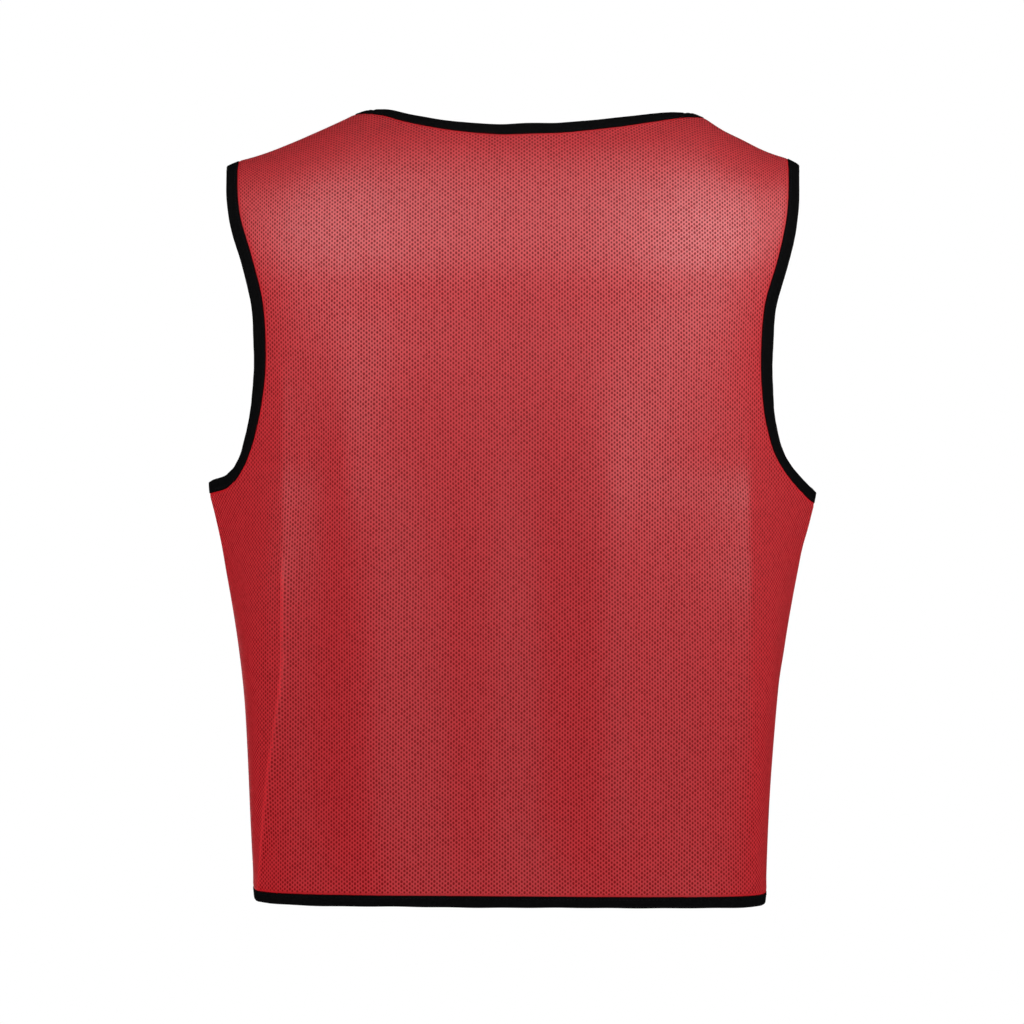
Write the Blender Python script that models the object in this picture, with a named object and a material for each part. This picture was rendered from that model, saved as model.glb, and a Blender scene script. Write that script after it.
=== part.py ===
"""Training bib: a sleeveless mesh vest, filled out as when worn, with no wearer.

Two panels of mesh cloth, a back and a front, are sewn at the shoulders and sides. Four folded tapes
bind the neck, the two armholes and the hem. Metres, +Z up. The wearer faces +Y, so the back panel is
on the -Y side and the wearer's left is -X. The origin lies between the shoulders, at the height of
the middle of the shoulder seams. All four seams lie in the plane y = 0.
"""
import bmesh
import bpy
import numpy as np

# Driving sizes, in metres
CLOTH = 0.0010            # wall of the mesh cloth
SEAM_GAP = 0.0003         # space between two pieces at a seam
TAPE_WIDTH = 0.0105       # a folded binding at the neck or an armhole, from the cloth's edge to its fold
HEM_TAPE_WIDTH = 0.0090   # the hem's binding
TAPE_THICK = 0.0026       # a folded binding, pressed flat
HEM_LEFT = -0.6318        # the cloth's lower edge at each side
HEM_RIGHT = -0.6360
NECK_LEFT = -0.1326       # where the shoulder seams end at the neck
NECK_RIGHT = 0.1624
UNDERARM = dict(left=-0.2980, right=-0.3065)  # the tops of the side seams

# Cells of a panel's grid. Its outer columns end at the bottoms of the armholes, on the chest row,
# and its middle ones at the bottom of the neck, on the collar row. Only the straps go on to the top
BODY_ROWS = 14            # from the hem up to the chest row
CHEST_ROWS = 6            # from the chest row up to the blade line
YOKE_ROWS = 6             # from the blade line up to the collar row
STRAP_ROWS = 4            # from the collar row up to the shoulder seams
ARMHOLE_COLUMNS = 5       # along the bottom of each armhole
SHOULDER_COLUMNS = 4      # along each shoulder seam
NECK_COLUMNS = 16         # along the bottom of the neck
ARMHOLE_BOTTOM = 0.13     # the share of an armhole's height that the chest row cuts off
SETTLING = 8              # rounds in which heights and armhole edges settle on each other

SIGN = dict(left=-1, right=1)


def table(names, *rows):
    """A short table as a dictionary of its named columns."""
    return dict(zip(names.split(), np.array(rows).T))


# How far out the form reaches at each side: the side seams up to the underarms, and above them the
# line that the panels would keep if no armhole were cut
SIDES = table(
    "height left right",
    (-0.6355, 0.2186, 0.2152),
    (-0.5600, 0.2216, 0.2176),
    (-0.4900, 0.2260, 0.2235),
    (-0.4400, 0.2303, 0.2290),
    (-0.3900, 0.2375, 0.2370),
    (-0.3550, 0.2440, 0.2440),
    (-0.3210, 0.2515, 0.2535),
    (-0.2980, 0.2567, 0.2580),
    (-0.2600, 0.2605, 0.2605),
    (-0.1900, 0.2590, 0.2600),
    (-0.1370, 0.2640, 0.2660),
    (-0.0660, 0.2820, 0.2840),
    (0.0000, 0.2920, 0.2940),
)

# The ridge over the shoulders: the two shoulder seams, from the tips in to the neck, and between them
# the line that the form would keep if no neck were cut
RIDGE = table(
    "across height",
    (-0.2325, -0.0170),
    (-0.2060, -0.0085),
    (-0.1870, -0.0010),
    (-0.1630, 0.0094),
    (-0.1326, 0.0230),
    (-0.0800, 0.0430),
    (0.0150, 0.0580),
    (0.1100, 0.0410),
    (0.1624, 0.0200),
    (0.1810, 0.0088),
    (0.1938, 0.0026),
    (0.2130, -0.0070),
    (0.2345, -0.0150),
)

# Each panel: the side of the seam plane it lies on, and the share of the neck's half width at which
# the bottom of the neck turns up into a strap. Then its tables:
#   form     level sections: how deep the middle is, how far out the section's corner lies as a share
#            of the form's half width, and how full the corner is
#   roll     how far below the ridge the panel stands upright
#   neck     height of the neckline, from -1 at the left shoulder seam to 1 at the right one
#   armhole  how far out the cloth's edge lies, by the share of the way up from the underarm to the tip
#   folds    soft ridges, or troughs where the relief is negative, that run up the panel
BACK = dict(
    side=-1,
    neck_turn=0.92,
    form=table(
        "height depth corner fullness",
        (-0.6355, 0.110, 1.000, 2.5),
        (-0.4900, 0.108, 0.985, 2.4),
        (-0.3900, 0.109, 0.925, 2.2),
        (-0.3210, 0.111, 0.790, 2.0),
        (-0.2800, 0.112, 0.720, 1.9),
        (-0.2400, 0.113, 0.720, 1.8),
        (-0.1900, 0.114, 0.750, 1.7),
        (-0.1200, 0.114, 0.810, 1.5),
        (0.0000, 0.110, 0.820, 1.4),
    ),
    roll=table(
        "across drop",
        (-0.2325, 0.112),
        (-0.1326, 0.140),
        (-0.0600, 0.180),
        (0.0150, 0.200),
        (0.0900, 0.180),
        (0.1624, 0.140),
        (0.2355, 0.112),
    ),
    neck=table(
        "share height",
        (-1.00, 0.0230),
        (-0.86, 0.0216),
        (-0.69, 0.0146),
        (-0.52, 0.0088),
        (-0.13, 0.0028),
        (0.09, 0.0036),
        (0.52, 0.0106),
        (0.87, 0.0192),
        (1.00, 0.0200),
    ),
    armhole=table(
        "share left right",
        (0.00, 0.2567, 0.2573),
        (0.01, 0.2450, 0.2525),
        (0.03, 0.2360, 0.2460),
        (0.07, 0.2270, 0.2345),
        (0.13, 0.2195, 0.2225),
        (0.22, 0.2125, 0.2138),
        (0.33, 0.2075, 0.2095),
        (0.45, 0.2065, 0.2090),
        (0.57, 0.2090, 0.2120),
        (0.70, 0.2180, 0.2230),
        (0.83, 0.2288, 0.2312),
        (0.95, 0.2322, 0.2338),
        (1.00, 0.2325, 0.2345),
    ),
    folds=table(
        "low_across low_height high_across high_height width relief",
        (-0.213, -0.640, -0.194, -0.150, 0.013, 0.0030),
        (0.206, -0.640, 0.200, -0.160, 0.020, 0.0025),
        (-0.122, -0.660, -0.112, -0.140, 0.026, 0.0028),
        (-0.172, -0.640, -0.155, -0.120, 0.022, -0.0024),
        (-0.062, -0.660, -0.058, -0.180, 0.024, -0.0020),
        (0.112, -0.660, 0.112, -0.170, 0.026, 0.0026),
        (0.060, -0.640, 0.062, -0.190, 0.024, -0.0024),
        (0.165, -0.640, 0.152, -0.130, 0.020, -0.0016),
    ),
)
FRONT = dict(
    side=1,
    neck_turn=0.86,
    form=table(
        "height depth corner fullness",
        (-0.6355, 0.112, 1.000, 2.3),
        (-0.4900, 0.115, 0.975, 2.2),
        (-0.3900, 0.119, 0.905, 2.0),
        (-0.3210, 0.123, 0.770, 1.9),
        (-0.2800, 0.125, 0.700, 1.8),
        (-0.2400, 0.126, 0.690, 1.7),
        (-0.1900, 0.125, 0.720, 1.6),
        (-0.1200, 0.121, 0.780, 1.5),
        (0.0000, 0.106, 0.800, 1.4),
    ),
    roll=table(
        "across drop",
        (-0.2325, 0.105),
        (-0.1326, 0.135),
        (-0.0600, 0.170),
        (0.0150, 0.185),
        (0.0900, 0.170),
        (0.1624, 0.135),
        (0.2355, 0.105),
    ),
    neck=table(
        "share height",
        (-1.00, 0.0230),
        (-0.97, 0.0060),
        (-0.88, -0.0210),
        (-0.72, -0.0470),
        (-0.45, -0.0700),
        (0.00, -0.0790),
        (0.45, -0.0700),
        (0.72, -0.0470),
        (0.88, -0.0210),
        (0.97, 0.0060),
        (1.00, 0.0200),
    ),
    armhole=table(
        "share left right",
        (0.00, 0.2567, 0.2573),
        (0.01, 0.2430, 0.2465),
        (0.03, 0.2325, 0.2365),
        (0.07, 0.2205, 0.2240),
        (0.13, 0.2115, 0.2130),
        (0.22, 0.2035, 0.2050),
        (0.33, 0.1985, 0.2000),
        (0.45, 0.1975, 0.2000),
        (0.57, 0.2010, 0.2040),
        (0.70, 0.2110, 0.2160),
        (0.83, 0.2240, 0.2275),
        (0.95, 0.2315, 0.2332),
        (1.00, 0.2325, 0.2345),
    ),
    folds=table(
        "low_across low_height high_across high_height width relief",
        (-0.205, -0.640, -0.185, -0.150, 0.018, 0.0028),
        (0.200, -0.640, 0.186, -0.170, 0.016, 0.0026),
        (-0.090, -0.660, -0.105, -0.150, 0.028, 0.0030),
        (-0.145, -0.640, -0.148, -0.160, 0.022, -0.0022),
        (0.020, -0.660, 0.010, -0.210, 0.030, -0.0022),
        (0.100, -0.660, 0.095, -0.140, 0.026, 0.0026),
        (0.152, -0.640, 0.146, -0.190, 0.020, -0.0020),
    ),
)


def read(curve, key, name, at):
    """A table's column read smoothly at any key: cubic pieces whose slopes come from the neighbours."""
    keys, values = curve[key], curve[name]
    slopes = np.gradient(values, keys)
    at = np.clip(at, keys[0], keys[-1])
    low = np.clip(np.searchsorted(keys, at) - 1, 0, len(keys) - 2)
    step = keys[low + 1] - keys[low]
    t = (at - keys[low]) / step
    start = (1 + 2 * t) * (1 - t) ** 2 * values[low] + t * (1 - t) ** 2 * step * slopes[low]
    end = t * t * (3 - 2 * t) * values[low + 1] - t * t * (1 - t) * step * slopes[low + 1]
    return start + end


def blend(low, high, share):
    """The value a share of the way from low to high."""
    return low + (high - low) * share


def ease(share):
    """A share from 0 to 1 that starts and ends gently."""
    share = np.clip(share, 0, 1)
    return share * share * (3 - 2 * share)


def unit(vectors):
    """The vectors at length 1. Those of no length stay so."""
    return vectors / np.maximum(np.linalg.norm(vectors, axis=-1, keepdims=True), 1e-12)


def conic(t, reach, corner, depth, fullness):
    """A point of half a level section: a conic from the form's side, round its corner, to its middle."""
    side_part, corner_part, middle_part = (1 - t) ** 2, 2 * fullness * t * (1 - t), t ** 2
    whole = side_part + corner_part + middle_part
    out = (side_part + corner_part * corner) * reach / whole
    return out, (corner_part + middle_part) * depth / whole


# The conic's parameter against the share of the way along a middling section, so that columns that
# are spaced evenly by share lie about evenly on the cloth
EVEN_T = np.linspace(0, 1, 201)
EVEN_SHARE = np.concatenate([[0], np.cumsum(np.hypot(*np.diff(conic(EVEN_T, 0.24, 0.85, 0.11, 2.0))))])
EVEN_SHARE /= EVEN_SHARE[-1]


def section_at(panel, height, name):
    """A level section's reach, corner, depth and fullness on the named side, at any height."""
    reach = read(SIDES, "height", name, height)
    shape = (read(panel["form"], "height", column, height) for column in ("corner", "depth", "fullness"))
    return (reach, *shape)


def turn_across(panel, across, height):
    """Where a point lies along its section: -1 at the left side, 0 in the middle, 1 at the right."""
    turns = {}
    for name, sign in SIGN.items():
        reach, corner, _, fullness = section_at(panel, height, name)
        out = np.clip(np.abs(across) / reach, 1e-6, 1)
        bend = fullness * (corner - out)
        ratio = (bend + np.sqrt(bend ** 2 + out * (1 - out))) / out
        turns[name] = sign * (1 - np.interp(ratio / (1 + ratio), EVEN_T, EVEN_SHARE))
    return np.where(across < 0, turns["left"], turns["right"])


def section_points(panel, turn, height):
    """How far across and how deep the form lies at a turn and height, before it rolls at the top."""
    t = np.interp(1 - np.abs(turn), EVEN_SHARE, EVEN_T)
    left, left_depth = conic(t, *section_at(panel, height, "left"))
    right, right_depth = conic(t, *section_at(panel, height, "right"))
    return np.where(turn < 0, -left, right), np.where(turn < 0, left_depth, right_depth)


def roll_at(panel, across):
    """The ridge's height and the roll's drop."""
    return read(RIDGE, "across", "height", across), read(panel["roll"], "across", "drop", across)


def roll_angle(panel, across, height):
    """How far round the roll a point lies: 0 on the ridge, a right angle where the panel is upright."""
    ridge, drop = roll_at(panel, across)
    return np.arccos(np.clip(1 - (ridge - height) / drop, 0, 1))


def rolled_height(panel, across, angle):
    """The height that far round the roll."""
    ridge, drop = roll_at(panel, across)
    return ridge - drop * (1 - np.cos(angle))


def armhole_tip(name):
    """The height of a shoulder's tip."""
    return RIDGE["height"][0 if name == "left" else -1]


def armhole_edge(panel, name, height):
    """How far across the cloth's edge lies at a height of an armhole."""
    share = (height - UNDERARM[name]) / (armhole_tip(name) - UNDERARM[name])
    return SIGN[name] * read(panel["armhole"], "share", name, share)


def chest_row(panel):
    """The row that joins the bottoms of the two armholes: each column's turn and height."""
    climb = ARMHOLE_BOTTOM * np.linspace(0, 1, ARMHOLE_COLUMNS + 1) ** 1.8
    heights, turns = {}, {}
    for name, sign in SIGN.items():
        heights[name] = blend(UNDERARM[name], armhole_tip(name), climb)
        turns[name] = turn_across(panel, armhole_edge(panel, name, heights[name]), heights[name])
        turns[name][0] = sign
    kept = 2 * SHOULDER_COLUMNS + NECK_COLUMNS + 1
    row = []
    for ends in (turns, heights):
        between = np.linspace(ends["left"][-1], ends["right"][-1], kept)[1:-1]
        row.append(np.concatenate([ends["left"], between, ends["right"][::-1]]))
    return row


def neck_edge(panel):
    """Points of the neckline, evenly spaced round each strap and along the bottom: across, roll's angle.

    The first and last STRAP_ROWS steps climb the straps.
    """
    share = np.linspace(-1, 1, 801)
    across = blend(NECK_LEFT, NECK_RIGHT, (share + 1) / 2)
    height = read(panel["neck"], "share", "height", share)
    height[[0, -1]] = read(RIDGE, "across", "height", across[[0, -1]])
    angle = roll_angle(panel, across, height)
    depth = section_points(panel, turn_across(panel, across, height), height)[1] * np.sin(angle)
    length = np.cumsum(np.hypot(np.hypot(np.diff(across), np.diff(height)), np.diff(depth)), axis=0)
    length = np.concatenate([[0], length])
    corners = np.interp([-1, -panel["neck_turn"], panel["neck_turn"], 1], share, length)
    steps = (STRAP_ROWS, NECK_COLUMNS, STRAP_ROWS)
    stops = [np.linspace(*corners[part:part + 2], steps[part] + 1)[:-1] for part in range(3)]
    stops = np.concatenate([*stops, corners[-1:]])
    return np.interp(stops, length, across), np.interp(stops, length, angle)


def torso_rows(panel, chest_share, collar_share, chest_height, collar_angle):
    """The rows between the armholes, from above the chest row up to the collar row.

    Columns are spread by share between the two armholes. Heights depend on how far across each point
    lies, and the armholes' edges on height, so both are settled in turn.
    """
    share = np.linspace(0, 1, CHEST_ROWS + YOKE_ROWS + 1)[1:, None]
    share = blend(chest_share, collar_share, ease(share))
    rise = np.linspace(0, 1, CHEST_ROWS + 1)[1:-1, None]
    angle = blend(np.pi / 2, collar_angle, np.linspace(0, 1, YOKE_ROWS + 1)[:, None])
    across = blend(NECK_LEFT, NECK_RIGHT, share)
    for _ in range(SETTLING):
        blade = rolled_height(panel, across[:CHEST_ROWS - 1], np.pi / 2)
        yoke = rolled_height(panel, across[CHEST_ROWS - 1:], angle)
        height = np.concatenate([blend(chest_height, blade, rise), yoke])
        left = armhole_edge(panel, "left", height[:, :1])
        right = armhole_edge(panel, "right", height[:, -1:])
        across = blend(left, right, share)
    return across, height


def strap(panel, name, neck_across, neck_angle):
    """One strap above the collar row, from the armhole's edge in to the neck's, row by row."""
    inward = np.linspace(0, 1, SHOULDER_COLUMNS + 1)
    upward = np.linspace(0, 1, STRAP_ROWS + 1)[:, None]
    angle = blend(blend(neck_angle[0], 0, upward), neck_angle[:, None], inward)
    across = np.full(angle.shape, neck_across[-1])
    for _ in range(SETTLING):
        height = rolled_height(panel, across, angle)
        across = blend(armhole_edge(panel, name, height[:, :1]), neck_across[:, None], inward)
    return across, rolled_height(panel, across, angle)


def panel_points(panel):
    """Outer points of a panel, row by row from the hem and column by column from the left.

    Rows are level at the hem, bend to the chest row, and rise to the blade line, a roll's drop below
    the ridge. Above it they follow the roll to the collar row, and the straps to the ridge. Points
    where no cloth is stay at the origin.
    """
    chest_turn, chest_height = chest_row(panel)
    edge, neck = ARMHOLE_COLUMNS, ARMHOLE_COLUMNS + SHOULDER_COLUMNS
    rows = BODY_ROWS + CHEST_ROWS + YOKE_ROWS + STRAP_ROWS + 1
    across, height = np.zeros((2, rows, len(chest_turn)))
    depth = np.zeros(across.shape)

    climb = np.linspace(0, 1, BODY_ROWS + 1)[:, None]
    hem_height = np.linspace(HEM_LEFT, HEM_RIGHT, len(chest_turn))
    body_height = blend(hem_height, chest_height, climb)
    body_turn = blend(np.linspace(-1, 1, len(chest_turn)), chest_turn, ease(climb))
    body = slice(0, BODY_ROWS + 1)
    across[body], depth[body] = section_points(panel, body_turn, body_height)
    height[body] = body_height

    neck_across, neck_angle = neck_edge(panel)
    top, left, right = slice(-STRAP_ROWS - 1, None), slice(edge, neck + 1), slice(-neck - 1, -edge)
    ends = neck_across[STRAP_ROWS::-1], neck_angle[STRAP_ROWS::-1]
    across[top, left], height[top, left] = strap(panel, "left", *ends)
    ends = neck_across[-STRAP_ROWS - 1:], neck_angle[-STRAP_ROWS - 1:]
    strap_across, strap_height = strap(panel, "right", *ends)
    across[top, right], height[top, right] = strap_across[:, ::-1], strap_height[:, ::-1]

    bottom = slice(STRAP_ROWS, -STRAP_ROWS)
    collar_angle = np.pad(neck_angle[bottom], SHOULDER_COLUMNS, mode="edge")
    collar = across[-STRAP_ROWS - 1, edge:-edge]
    collar[SHOULDER_COLUMNS:-SHOULDER_COLUMNS] = neck_across[bottom]
    chest = across[BODY_ROWS, edge:-edge]
    chest_share, collar_share = ((row - row[0]) / (row[-1] - row[0]) for row in (chest, collar))
    torso = torso_rows(panel, chest_share, collar_share, chest_height[edge:-edge], collar_angle)
    kept = (slice(BODY_ROWS + 1, -STRAP_ROWS), slice(edge, -edge))
    across[kept], height[kept] = torso

    upper = slice(BODY_ROWS + 1, None)
    turn = turn_across(panel, across[upper], height[upper])
    roll = np.sin(roll_angle(panel, across[upper], height[upper]))
    depth[upper] = section_points(panel, turn, height[upper])[1] * roll
    return np.stack([across, panel["side"] * depth, height], axis=-1)


def cloth_cells(rows, columns):
    """Which cells of a panel's grid are cloth: all but those of the armholes and the neck."""
    edge, neck = ARMHOLE_COLUMNS, ARMHOLE_COLUMNS + SHOULDER_COLUMNS
    cloth = np.ones((rows - 1, columns - 1), dtype=bool)
    cloth[BODY_ROWS:, :edge] = cloth[BODY_ROWS:, -edge:] = False
    cloth[-STRAP_ROWS:, neck:-neck] = False
    return cloth


def outward_sums(points, side):
    """At each point, the sum of the normals of the cloth's cells round it, away from the wearer."""
    one_diagonal = points[1:, 1:] - points[:-1, :-1]
    other_diagonal = points[1:, :-1] - points[:-1, 1:]
    cells = np.cross(other_diagonal, one_diagonal) * side
    cells *= cloth_cells(*points.shape[:2])[..., None]
    sums = np.zeros(points.shape)
    for corner in (sums[:-1, :-1], sums[:-1, 1:], sums[1:, :-1], sums[1:, 1:]):
        corner += cells
    return sums


def fold_relief(points, folds):
    """How far each point stands proud: a sum of soft ridges that fade in and out along their lines."""
    relief = np.zeros(points.shape[:2])
    for fold in range(len(folds["relief"])):
        low, high = folds["low_height"][fold], folds["high_height"][fold]
        share = (points[..., 2] - low) / (high - low)
        line = blend(folds["low_across"][fold], folds["high_across"][fold], share)
        bell = np.exp(-(((points[..., 0] - line) / folds["width"][fold]) ** 2))
        relief += folds["relief"][fold] * bell * ease(share * 6) * ease((1 - share) * 2.5)
    return relief


def folded_points(panel):
    """Outer points of a panel with its folds."""
    points = panel_points(panel)
    out = unit(outward_sums(points, panel["side"]))
    return points + out * fold_relief(points, panel["folds"])[..., None]


def fit_seams(back, front):
    """Stop both panels short of the seam plane, and find their normals, the same on both at a seam."""
    back_normal, front_normal = outward_sums(back, BACK["side"]), outward_sums(front, FRONT["side"])
    seams = np.zeros(back.shape[:2], dtype=bool)
    seams[:BODY_ROWS + 1, [0, -1]] = True
    shoulder = slice(ARMHOLE_COLUMNS, ARMHOLE_COLUMNS + SHOULDER_COLUMNS + 1)
    seams[-1, shoulder] = seams[-1, ::-1][shoulder] = True
    back_normal[seams] += front_normal[seams]
    back_normal[seams, 1] = 0
    front_normal[seams] = back_normal[seams]
    back[seams, 1] = -SEAM_GAP / 2
    front[seams] = back[seams] * (1, -1, 1)
    return unit(back_normal), unit(front_normal)


def edge_paths(rows, columns):
    """The grid rows and columns of each bound edge, in order from one seam to the other."""
    edge, neck = ARMHOLE_COLUMNS, ARMHOLE_COLUMNS + SHOULDER_COLUMNS
    up = np.arange(BODY_ROWS + 1, rows)
    armhole_rows = np.concatenate([np.full(edge + 1, BODY_ROWS), up])
    armhole_columns = np.concatenate([np.arange(edge + 1), np.full(len(up), edge)])
    bottom = np.arange(neck, columns - neck)
    strap_rows = np.arange(rows - STRAP_ROWS, rows)
    collar_rows = np.full(len(bottom), rows - 1 - STRAP_ROWS)
    return {
        "neck": (
            np.concatenate([strap_rows[::-1], collar_rows, strap_rows]),
            np.concatenate([np.full(STRAP_ROWS, bottom[0]), bottom, np.full(STRAP_ROWS, bottom[-1])]),
        ),
        "left": (armhole_rows, armhole_columns),
        "right": (armhole_rows, columns - 1 - armhole_columns),
        "hem": (np.zeros(columns, dtype=int), np.arange(columns)),
    }


def tape_ring(points, normals, width, away):
    """Cross sections of a folded tape all round a ring of edge points.

    The tape goes on from the cloth's edge, along its surface. Away is a rough direction out of the
    cloth, which settles which way that is.
    """
    step = unit(np.roll(points, -1, axis=0) - points)
    beyond = unit(np.cross(step + np.roll(step, 1, axis=0), normals))
    beyond *= np.sign(np.sum(beyond * away, axis=-1, keepdims=True))
    top, bottom = (TAPE_THICK - CLOTH) / 2, -(TAPE_THICK + CLOTH) / 2
    round_off = TAPE_THICK / 3
    profile = (
        (SEAM_GAP, top),
        (width - round_off, top),
        (width, top - round_off),
        (width, bottom + round_off),
        (width - round_off, bottom),
        (SEAM_GAP, bottom),
    )
    return np.stack([points + beyond * out + normals * up for out, up in profile], axis=1)


def add_solid(name, vertices, faces, material, collection):
    """A closed mesh object with its faces pointing out."""
    mesh = bpy.data.meshes.new(name)
    mesh.from_pydata(vertices.tolist(), [], faces)
    shape = bmesh.new()
    shape.from_mesh(mesh)
    loose = [vertex for vertex in shape.verts if not vertex.link_faces]
    bmesh.ops.delete(shape, geom=loose, context="VERTS")
    bmesh.ops.recalc_face_normals(shape, faces=shape.faces)
    shape.to_mesh(mesh)
    shape.free()
    mesh.shade_smooth()
    mesh.set_sharp_from_angle(angle=np.radians(50))
    mesh.materials.append(material)
    solid = bpy.data.objects.new(name, mesh)
    collection.objects.link(solid)


def add_panel(name, points, normals, material, collection):
    """A panel's wall: its outer points, the same points a cloth's thickness in, and a rim round both."""
    rows, columns = points.shape[:2]
    count = rows * columns
    vertices = np.concatenate([points.reshape(-1, 3), (points - normals * CLOTH).reshape(-1, 3)])
    index = np.arange(count).reshape(rows, columns)
    cells = np.stack([index[:-1, :-1], index[:-1, 1:], index[1:, 1:], index[1:, :-1]], axis=-1)
    outer = cells[cloth_cells(rows, columns)]
    sides = np.stack([outer, np.roll(outer, -1, axis=1)], axis=-1).reshape(-1, 2)
    _, place, uses = np.unique(np.sort(sides, axis=1), axis=0, return_index=True, return_counts=True)
    border = sides[place[uses == 1]]
    rim = np.concatenate([border[:, ::-1], border + count], axis=1)
    faces = np.concatenate([outer, outer[:, ::-1] + count, rim])
    add_solid(name, vertices, faces.tolist(), material, collection)


def add_tape(name, sections, material, collection):
    """A closed tape: its cross sections joined one to the next, all round."""
    count, corners = sections.shape[:2]
    index = np.arange(count * corners).reshape(count, corners)
    ahead = np.roll(index, -1, axis=0)
    faces = np.stack([index, np.roll(index, -1, axis=1), np.roll(ahead, -1, axis=1), ahead], axis=-1)
    add_solid(name, sections.reshape(-1, 3), faces.reshape(-1, 4).tolist(), material, collection)


def add_material(name, colour, roughness):
    """A plain cloth finish."""
    material = bpy.data.materials.new(name)
    material.use_nodes = True
    surface = material.node_tree.nodes["Principled BSDF"]
    surface.inputs["Base Color"].default_value = (*colour, 1)
    surface.inputs["Roughness"].default_value = roughness
    surface.inputs["Metallic"].default_value = 0
    material.diffuse_color = (*colour, 1)
    return material


def build_bib():
    """Clear the scene, then make the panels and their bindings."""
    for leftover in list(bpy.data.objects):
        bpy.data.objects.remove(leftover)
    bib = bpy.data.collections.new("training_bib")
    bpy.context.scene.collection.children.link(bib)
    mesh_cloth = add_material("mesh_cloth_red", (0.42, 0.030, 0.040), 0.75)
    binding_tape = add_material("binding_tape_black", (0.006, 0.006, 0.007), 0.80)

    back, front = folded_points(BACK), folded_points(FRONT)
    back_normal, front_normal = fit_seams(back, front)
    add_panel("back_panel", back, back_normal, mesh_cloth, bib)
    add_panel("front_panel", front, front_normal, mesh_cloth, bib)

    tapes = (
        ("neck_binding", "neck", TAPE_WIDTH, (0, 0, 1)),
        ("armhole_binding_left", "left", TAPE_WIDTH, (-1, 0, 1)),
        ("armhole_binding_right", "right", TAPE_WIDTH, (1, 0, 1)),
        ("hem_binding", "hem", HEM_TAPE_WIDTH, (0, 0, -1)),
    )
    paths = edge_paths(*back.shape[:2])
    for name, edge, width, away in tapes:
        path = paths[edge]
        ring = np.concatenate([back[path], front[path][-2:0:-1]])
        ring[[0, len(back[path]) - 1], 1] = 0
        normals = np.concatenate([back_normal[path], front_normal[path][-2:0:-1]])
        add_tape(name, tape_ring(ring, normals, width, np.array(away)), binding_tape, bib)


build_bib()
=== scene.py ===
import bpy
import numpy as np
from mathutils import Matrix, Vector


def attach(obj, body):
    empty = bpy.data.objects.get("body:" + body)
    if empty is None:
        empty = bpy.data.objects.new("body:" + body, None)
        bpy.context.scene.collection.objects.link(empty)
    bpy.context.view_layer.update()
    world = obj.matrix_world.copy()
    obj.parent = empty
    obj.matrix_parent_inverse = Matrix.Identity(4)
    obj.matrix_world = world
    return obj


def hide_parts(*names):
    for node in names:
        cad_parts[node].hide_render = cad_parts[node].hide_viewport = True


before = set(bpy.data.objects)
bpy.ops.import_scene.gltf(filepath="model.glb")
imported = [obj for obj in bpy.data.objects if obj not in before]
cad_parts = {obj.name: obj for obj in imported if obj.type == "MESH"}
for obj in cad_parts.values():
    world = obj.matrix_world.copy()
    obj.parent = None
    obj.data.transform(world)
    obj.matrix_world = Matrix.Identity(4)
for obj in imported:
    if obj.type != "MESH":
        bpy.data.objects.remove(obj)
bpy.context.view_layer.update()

# %% [markdown]
# # A training bib, filled out as if worn
#
# The bib is a vest of thin red mesh: a back and a front, sewn at the shoulders and down the sides.
# Black tape, folded in half, binds its neck, armholes and hem. It hangs open as it would on a
# wearer, whose back is toward the camera.
#
# The frame already holds plain solids of the six sewn pieces. They are stiff and smooth, so each of
# them gets a finer stand-in here: the same surface, worked out again on a closer grid with its
# creases, seams and stitches. Everything is in metres, with +Z up and the back on the -Y side.

# %% [markdown]
# ## The form of a hanging panel
#
# A worn vest is a tube round the body, closed at the top by its shoulders. Such a form could be
# draped by a cloth simulation over a dummy, but a photograph fixes it more closely than a
# simulation would. So it is described the way a tailor would block it: level sections, one above
# the other, whose sides and depth come from short tables, and a roll at the top that carries the
# cloth over the ridge of the shoulders.

# %% Driving sizes, the same as the frame's
CLOTH = 0.0010            # wall of the mesh cloth
SEAM_GAP = 0.0003         # space between two pieces at a seam
TAPE_WIDTH = 0.0105       # a folded binding at the neck or an armhole, from the cloth's edge to its fold
HEM_TAPE_WIDTH = 0.0090   # the hem's binding
TAPE_THICK = 0.0026       # a folded binding, pressed flat
HEM_LEFT = -0.6318        # the cloth's lower edge at each side
HEM_RIGHT = -0.6360
NECK_LEFT = -0.1326       # where the shoulder seams end at the neck
NECK_RIGHT = 0.1624
UNDERARM = dict(left=-0.2980, right=-0.3065)  # the tops of the side seams
SIGN = dict(left=-1, right=1)


def table(names, *rows):
    """A short table as a dictionary of its named columns."""
    return dict(zip(names.split(), np.array(rows).T))


# How far out the form reaches at each side: the side seams up to the underarms, and above them the
# line that the panels would keep if no armhole were cut
SIDES = table(
    "height left right",
    (-0.6355, 0.2186, 0.2152),
    (-0.5600, 0.2216, 0.2176),
    (-0.4900, 0.2260, 0.2235),
    (-0.4400, 0.2303, 0.2290),
    (-0.3900, 0.2375, 0.2370),
    (-0.3550, 0.2440, 0.2440),
    (-0.3210, 0.2515, 0.2535),
    (-0.2980, 0.2567, 0.2580),
    (-0.2600, 0.2605, 0.2605),
    (-0.1900, 0.2590, 0.2600),
    (-0.1370, 0.2640, 0.2660),
    (-0.0660, 0.2820, 0.2840),
    (0.0000, 0.2920, 0.2940),
)

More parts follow.
